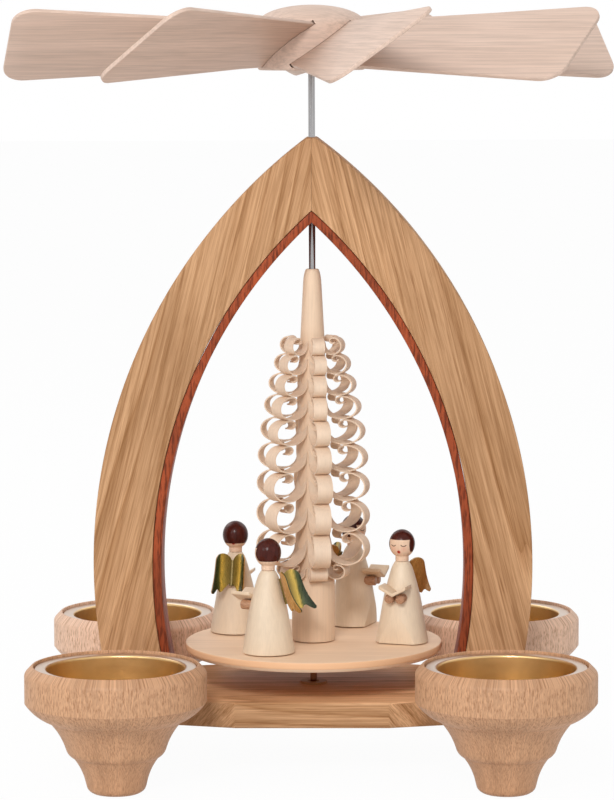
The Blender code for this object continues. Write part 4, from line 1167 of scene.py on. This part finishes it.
def wing_shape(side):
    """One gilt wing, cupped and flared towards its two points."""
    angles = [math.pi * i / CROWN_STEPS for i in range(CROWN_STEPS + 1)]
    outline = [
        (WING_CROWN - CROWN_RADIUS * math.cos(a), CROWN_RADIUS * (math.sin(a) - 1)) for a in angles
    ] + [(WING_WIDTH * x, WING_HEIGHT * y) for x, y in WING_TAIL]
    shape = bmesh.new()
    shape.faces.new([shape.verts.new((x, y, -WING_SHEET / 2)) for x, y in outline])
    thicken(shape, (0, 0, WING_SHEET))
    bmesh.ops.triangulate(shape, faces=[face for face in shape.faces if len(face.verts) > 4])
    bmesh.ops.subdivide_edges(shape, edges=shape.edges, cuts=2, use_grid_fill=True)
    layer = shape.verts.layers.float_vector.new("leaf")
    for vert in shape.verts:
        vert[layer] = (vert.co.x, vert.co.y, side * vert.co.z)
        reach = max(0.0, vert.co.x / WING_WIDTH)
        fall = max(0.0, -vert.co.y / WING_HEIGHT - FLARE_START)
        vert.co.z += side * (WING_CUP * math.sin(math.pi * reach) - WING_FLARE * fall**2)
    return shape


class CAROUSEL_OT_angels(bpy.types.Operator):
    """Makes the singing angels with their robes, heads, wings, books and hands"""

    bl_idname = "carousel.angels"
    bl_label = "Angels"

    def execute(self, context):
        sizes = context.scene.carousel.angels
        self.finishes = {
            "robe": robe_finish("cream_robe", sizes.robe),
            "head": face_finish("painted_head", sizes.skin, sizes.hair, sizes.head_z),
            "wings": gilt_finish("gilt_wing", sizes.gold),
            "book": robe_finish("pale_book", shade(sizes.robe, 0.94, 1.05)),
            "hand": hand_finish("hand_wood"),
        }
        for where, heading in HEADINGS:
            name = "angel_" + where
            x, y, _, _ = middle(name + "_head")
            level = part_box(name + "_robe")[0][2]
            turn = Matrix.Rotation(math.radians(heading + 90), 4, "Z")
            place = Matrix.Translation((x, y, level)) @ turn
            self.add(name + "_robe", robe_shape(), place, "robe", "cream_paint", 40)
            self.add(name + "_head", head_shape(sizes), place, "head", "skin", 40)
            self.add(name + "_book", book_shape(), place, "book", "paper", 30)
            self.add(name + "_left_hand", hand_shape(1), place, "hand", "hand_wood", 40)
            self.add(name + "_right_hand", hand_shape(-1), place, "hand", "hand_wood", 40)
            self.add(name + "_wings", self.both_wings(), place, "wings", "gold_paint", 35)
        return {"FINISHED"}

    def add(self, node, shape, place, finish, slot, crease):
        keep_local(shape)
        bmesh.ops.transform(shape, verts=shape.verts, matrix=place)
        add_piece("dressed_" + node, shape, self.finishes[finish], "spindle", [node], crease)

    def both_wings(self):
        slope = (WAIST[0] - CHEST[0]) / (CHEST[1] - WAIST[1])
        back = WAIST[0] - slope * (WING_LOW - WAIST[1]) + GAP + SPINE_ROOM / math.cos(WING_LEAN)
        foot = Matrix.Translation((0, back, WING_LOW)) @ Matrix.Rotation(WING_LEAN, 4, "X")
        root = foot @ Matrix.Translation((0, 0, ROBE_TOP - WING_LOW))
        upright = Matrix.Rotation(QUARTER, 4, "X")
        shape = bmesh.new()
        for side, _ in SIDES:
            wing = wing_shape(side)
            spread = Matrix.Rotation(QUARTER - side * WING_SPREAD, 4, "Z")
            bmesh.ops.transform(wing, verts=wing.verts, matrix=root @ spread @ upright)
            mesh = bpy.data.meshes.new("wing")
            wing.to_mesh(mesh)
            wing.free()
            shape.from_mesh(mesh)
            bpy.data.meshes.remove(mesh)
        spine = bmesh.ops.create_cone(
            shape, cap_ends=True, segments=20, radius1=SPINE_RADIUS, radius2=SPINE_RADIUS,
            depth=SPINE_LENGTH, matrix=root @ Matrix.Translation((0, 0, SPINE_Z)),
        )["verts"]
        layer = shape.verts.layers.float_vector["leaf"]
        for vert in spine:
            vert[layer] = (0.0, 0.0, -0.001)
        bmesh.ops.recalc_face_normals(shape, faces=shape.faces)
        return shape


# Studio

LAMPS = (  # name, place, size, power
    ("key", (-0.75, -0.80, 0.60), 0.45, 1.8),
    ("front", (-0.16, -1.10, 0.74), 0.25, 7.0),
    ("fill", (0.75, -0.70, 0.45), 0.6, 0.4),
    ("back_left", (-0.60, 0.55, 0.80), 0.6, 2.4),
    ("back_right", (0.60, 0.55, 0.80), 0.6, 1.2),
)
LAMP_AIM = Vector((0, 0, 0.1))
WORLD_LEVEL = 0.52
FLOOR_SIZE, FLOOR_GREY, FLOOR_GLOW = 6.0, (0.86, 0.86, 0.86, 1.0), 0.965
CAMERA_LENS, CAMERA_PLACE = 156.2, (0.0180, -1.0365, 0.2195)
CAMERA_TURNS = ((1.089, "Z"), (90 - 6.067, "X"), (-0.22, "Z"))


def seen_directly(tree):
    """1 for rays that show the white surroundings, and 0 for those that carry their light."""
    path = tree.nodes.new("ShaderNodeLightPath")
    either = path.outputs["Is Camera Ray"]
    for kind in ("Is Glossy Ray", "Is Transmission Ray"):
        larger = tree.nodes.new("ShaderNodeMath")
        larger.operation = "MAXIMUM"
        tree.links.new(either, larger.inputs[0])
        tree.links.new(path.outputs[kind], larger.inputs[1])
        either = larger.outputs[0]
    return either


class CAROUSEL_OT_studio(bpy.types.Operator):
    """Sets up the white floor, the soft lights and the camera"""

    bl_idname = "carousel.studio"
    bl_label = "Studio"

    def execute(self, context):
        scene = context.scene
        scene.view_settings.view_transform = "Standard"
        self.add_floor(scene)
        self.add_world(scene)
        for lamp in LAMPS:
            self.add_lamp(*lamp)
        camera = bpy.data.cameras.new("camera")
        camera.lens = CAMERA_LENS
        camera.clip_start = 0.01
        view = bpy.data.objects.new("camera", camera)
        scene.collection.objects.link(view)
        place = Matrix.Translation(CAMERA_PLACE)
        for degrees, axis in CAMERA_TURNS:
            place = place @ Matrix.Rotation(math.radians(degrees), 4, axis)
        view.matrix_world = place
        scene.camera = view
        return {"FINISHED"}

    def add_floor(self, scene):
        shape = bmesh.new()
        bmesh.ops.create_grid(shape, x_segments=1, y_segments=1, size=FLOOR_SIZE)
        mesh = bpy.data.meshes.new("floor")
        shape.to_mesh(mesh)
        shape.free()
        made = Finish("white_floor")
        light = made.node("ShaderNodeEmission", {"Color": (1, 1, 1, 1), "Strength": 1.0})
        share = made.times(seen_directly(made.tree), FLOOR_GLOW)
        made.blend(share, light.outputs[0])
        mesh.materials.append(made.surface(FLOOR_GREY, 0.9))
        floor = bpy.data.objects.new("floor", mesh)
        scene.collection.objects.link(floor)

    def add_world(self, scene):
        world = bpy.data.worlds.new("studio")
        world.use_nodes = True
        scene.world = world
        tree = world.node_tree
        sky = tree.nodes["Background"]
        sky.inputs["Color"].default_value = (1.0, 1.0, 1.0, 1.0)
        level = tree.nodes.new("ShaderNodeMapRange")
        tree.links.new(seen_directly(tree), level.inputs["Value"])
        level.inputs["To Min"].default_value = WORLD_LEVEL
        level.inputs["To Max"].default_value = 1.0
        tree.links.new(level.outputs["Result"], sky.inputs["Strength"])

    def add_lamp(self, name, place, size, power):
        lamp = bpy.data.lights.new(name, "AREA")
        lamp.energy = power
        lamp.size = size
        piece = bpy.data.objects.new(name, lamp)
        bpy.context.scene.collection.objects.link(piece)
        piece.location = place
        aim = LAMP_AIM - Vector(place)
        piece.rotation_euler = aim.to_track_quat("-Z", "Y").to_euler()


OPERATORS = (
    CAROUSEL_OT_studio,
    CAROUSEL_OT_cups,
    CAROUSEL_OT_inserts,
    CAROUSEL_OT_arch,
    CAROUSEL_OT_spindle,
    CAROUSEL_OT_tree,
    CAROUSEL_OT_rotor,
    CAROUSEL_OT_angels,
)


class CAROUSEL_PT_panel(bpy.types.Panel):
    """Lists the carousel's pieces in the sidebar"""

    bl_label = "Candle Carousel"
    bl_idname = "CAROUSEL_PT_panel"
    bl_space_type = "VIEW_3D"
    bl_region_type = "UI"
    bl_category = "Carousel"

    def draw(self, context):
        for operator in OPERATORS:
            self.layout.operator(operator.bl_idname)


CLASSES = (CupSizes, ArchSizes, TreeSizes, RotorSizes, AngelSizes, Carousel) + OPERATORS + (
    CAROUSEL_PT_panel,
)


def register():
    for item in CLASSES:
        bpy.utils.register_class(item)
    bpy.types.Scene.carousel = bpy.props.PointerProperty(type=Carousel)


def unregister():
    del bpy.types.Scene.carousel
    for item in reversed(CLASSES):
        bpy.utils.unregister_class(item)


def main():
    register()
    for operator in OPERATORS:
        group, name = operator.bl_idname.split(".")
        getattr(getattr(bpy.ops, group), name)()
    bpy.context.view_layer.update()


if __name__ == "__main__":
    main()
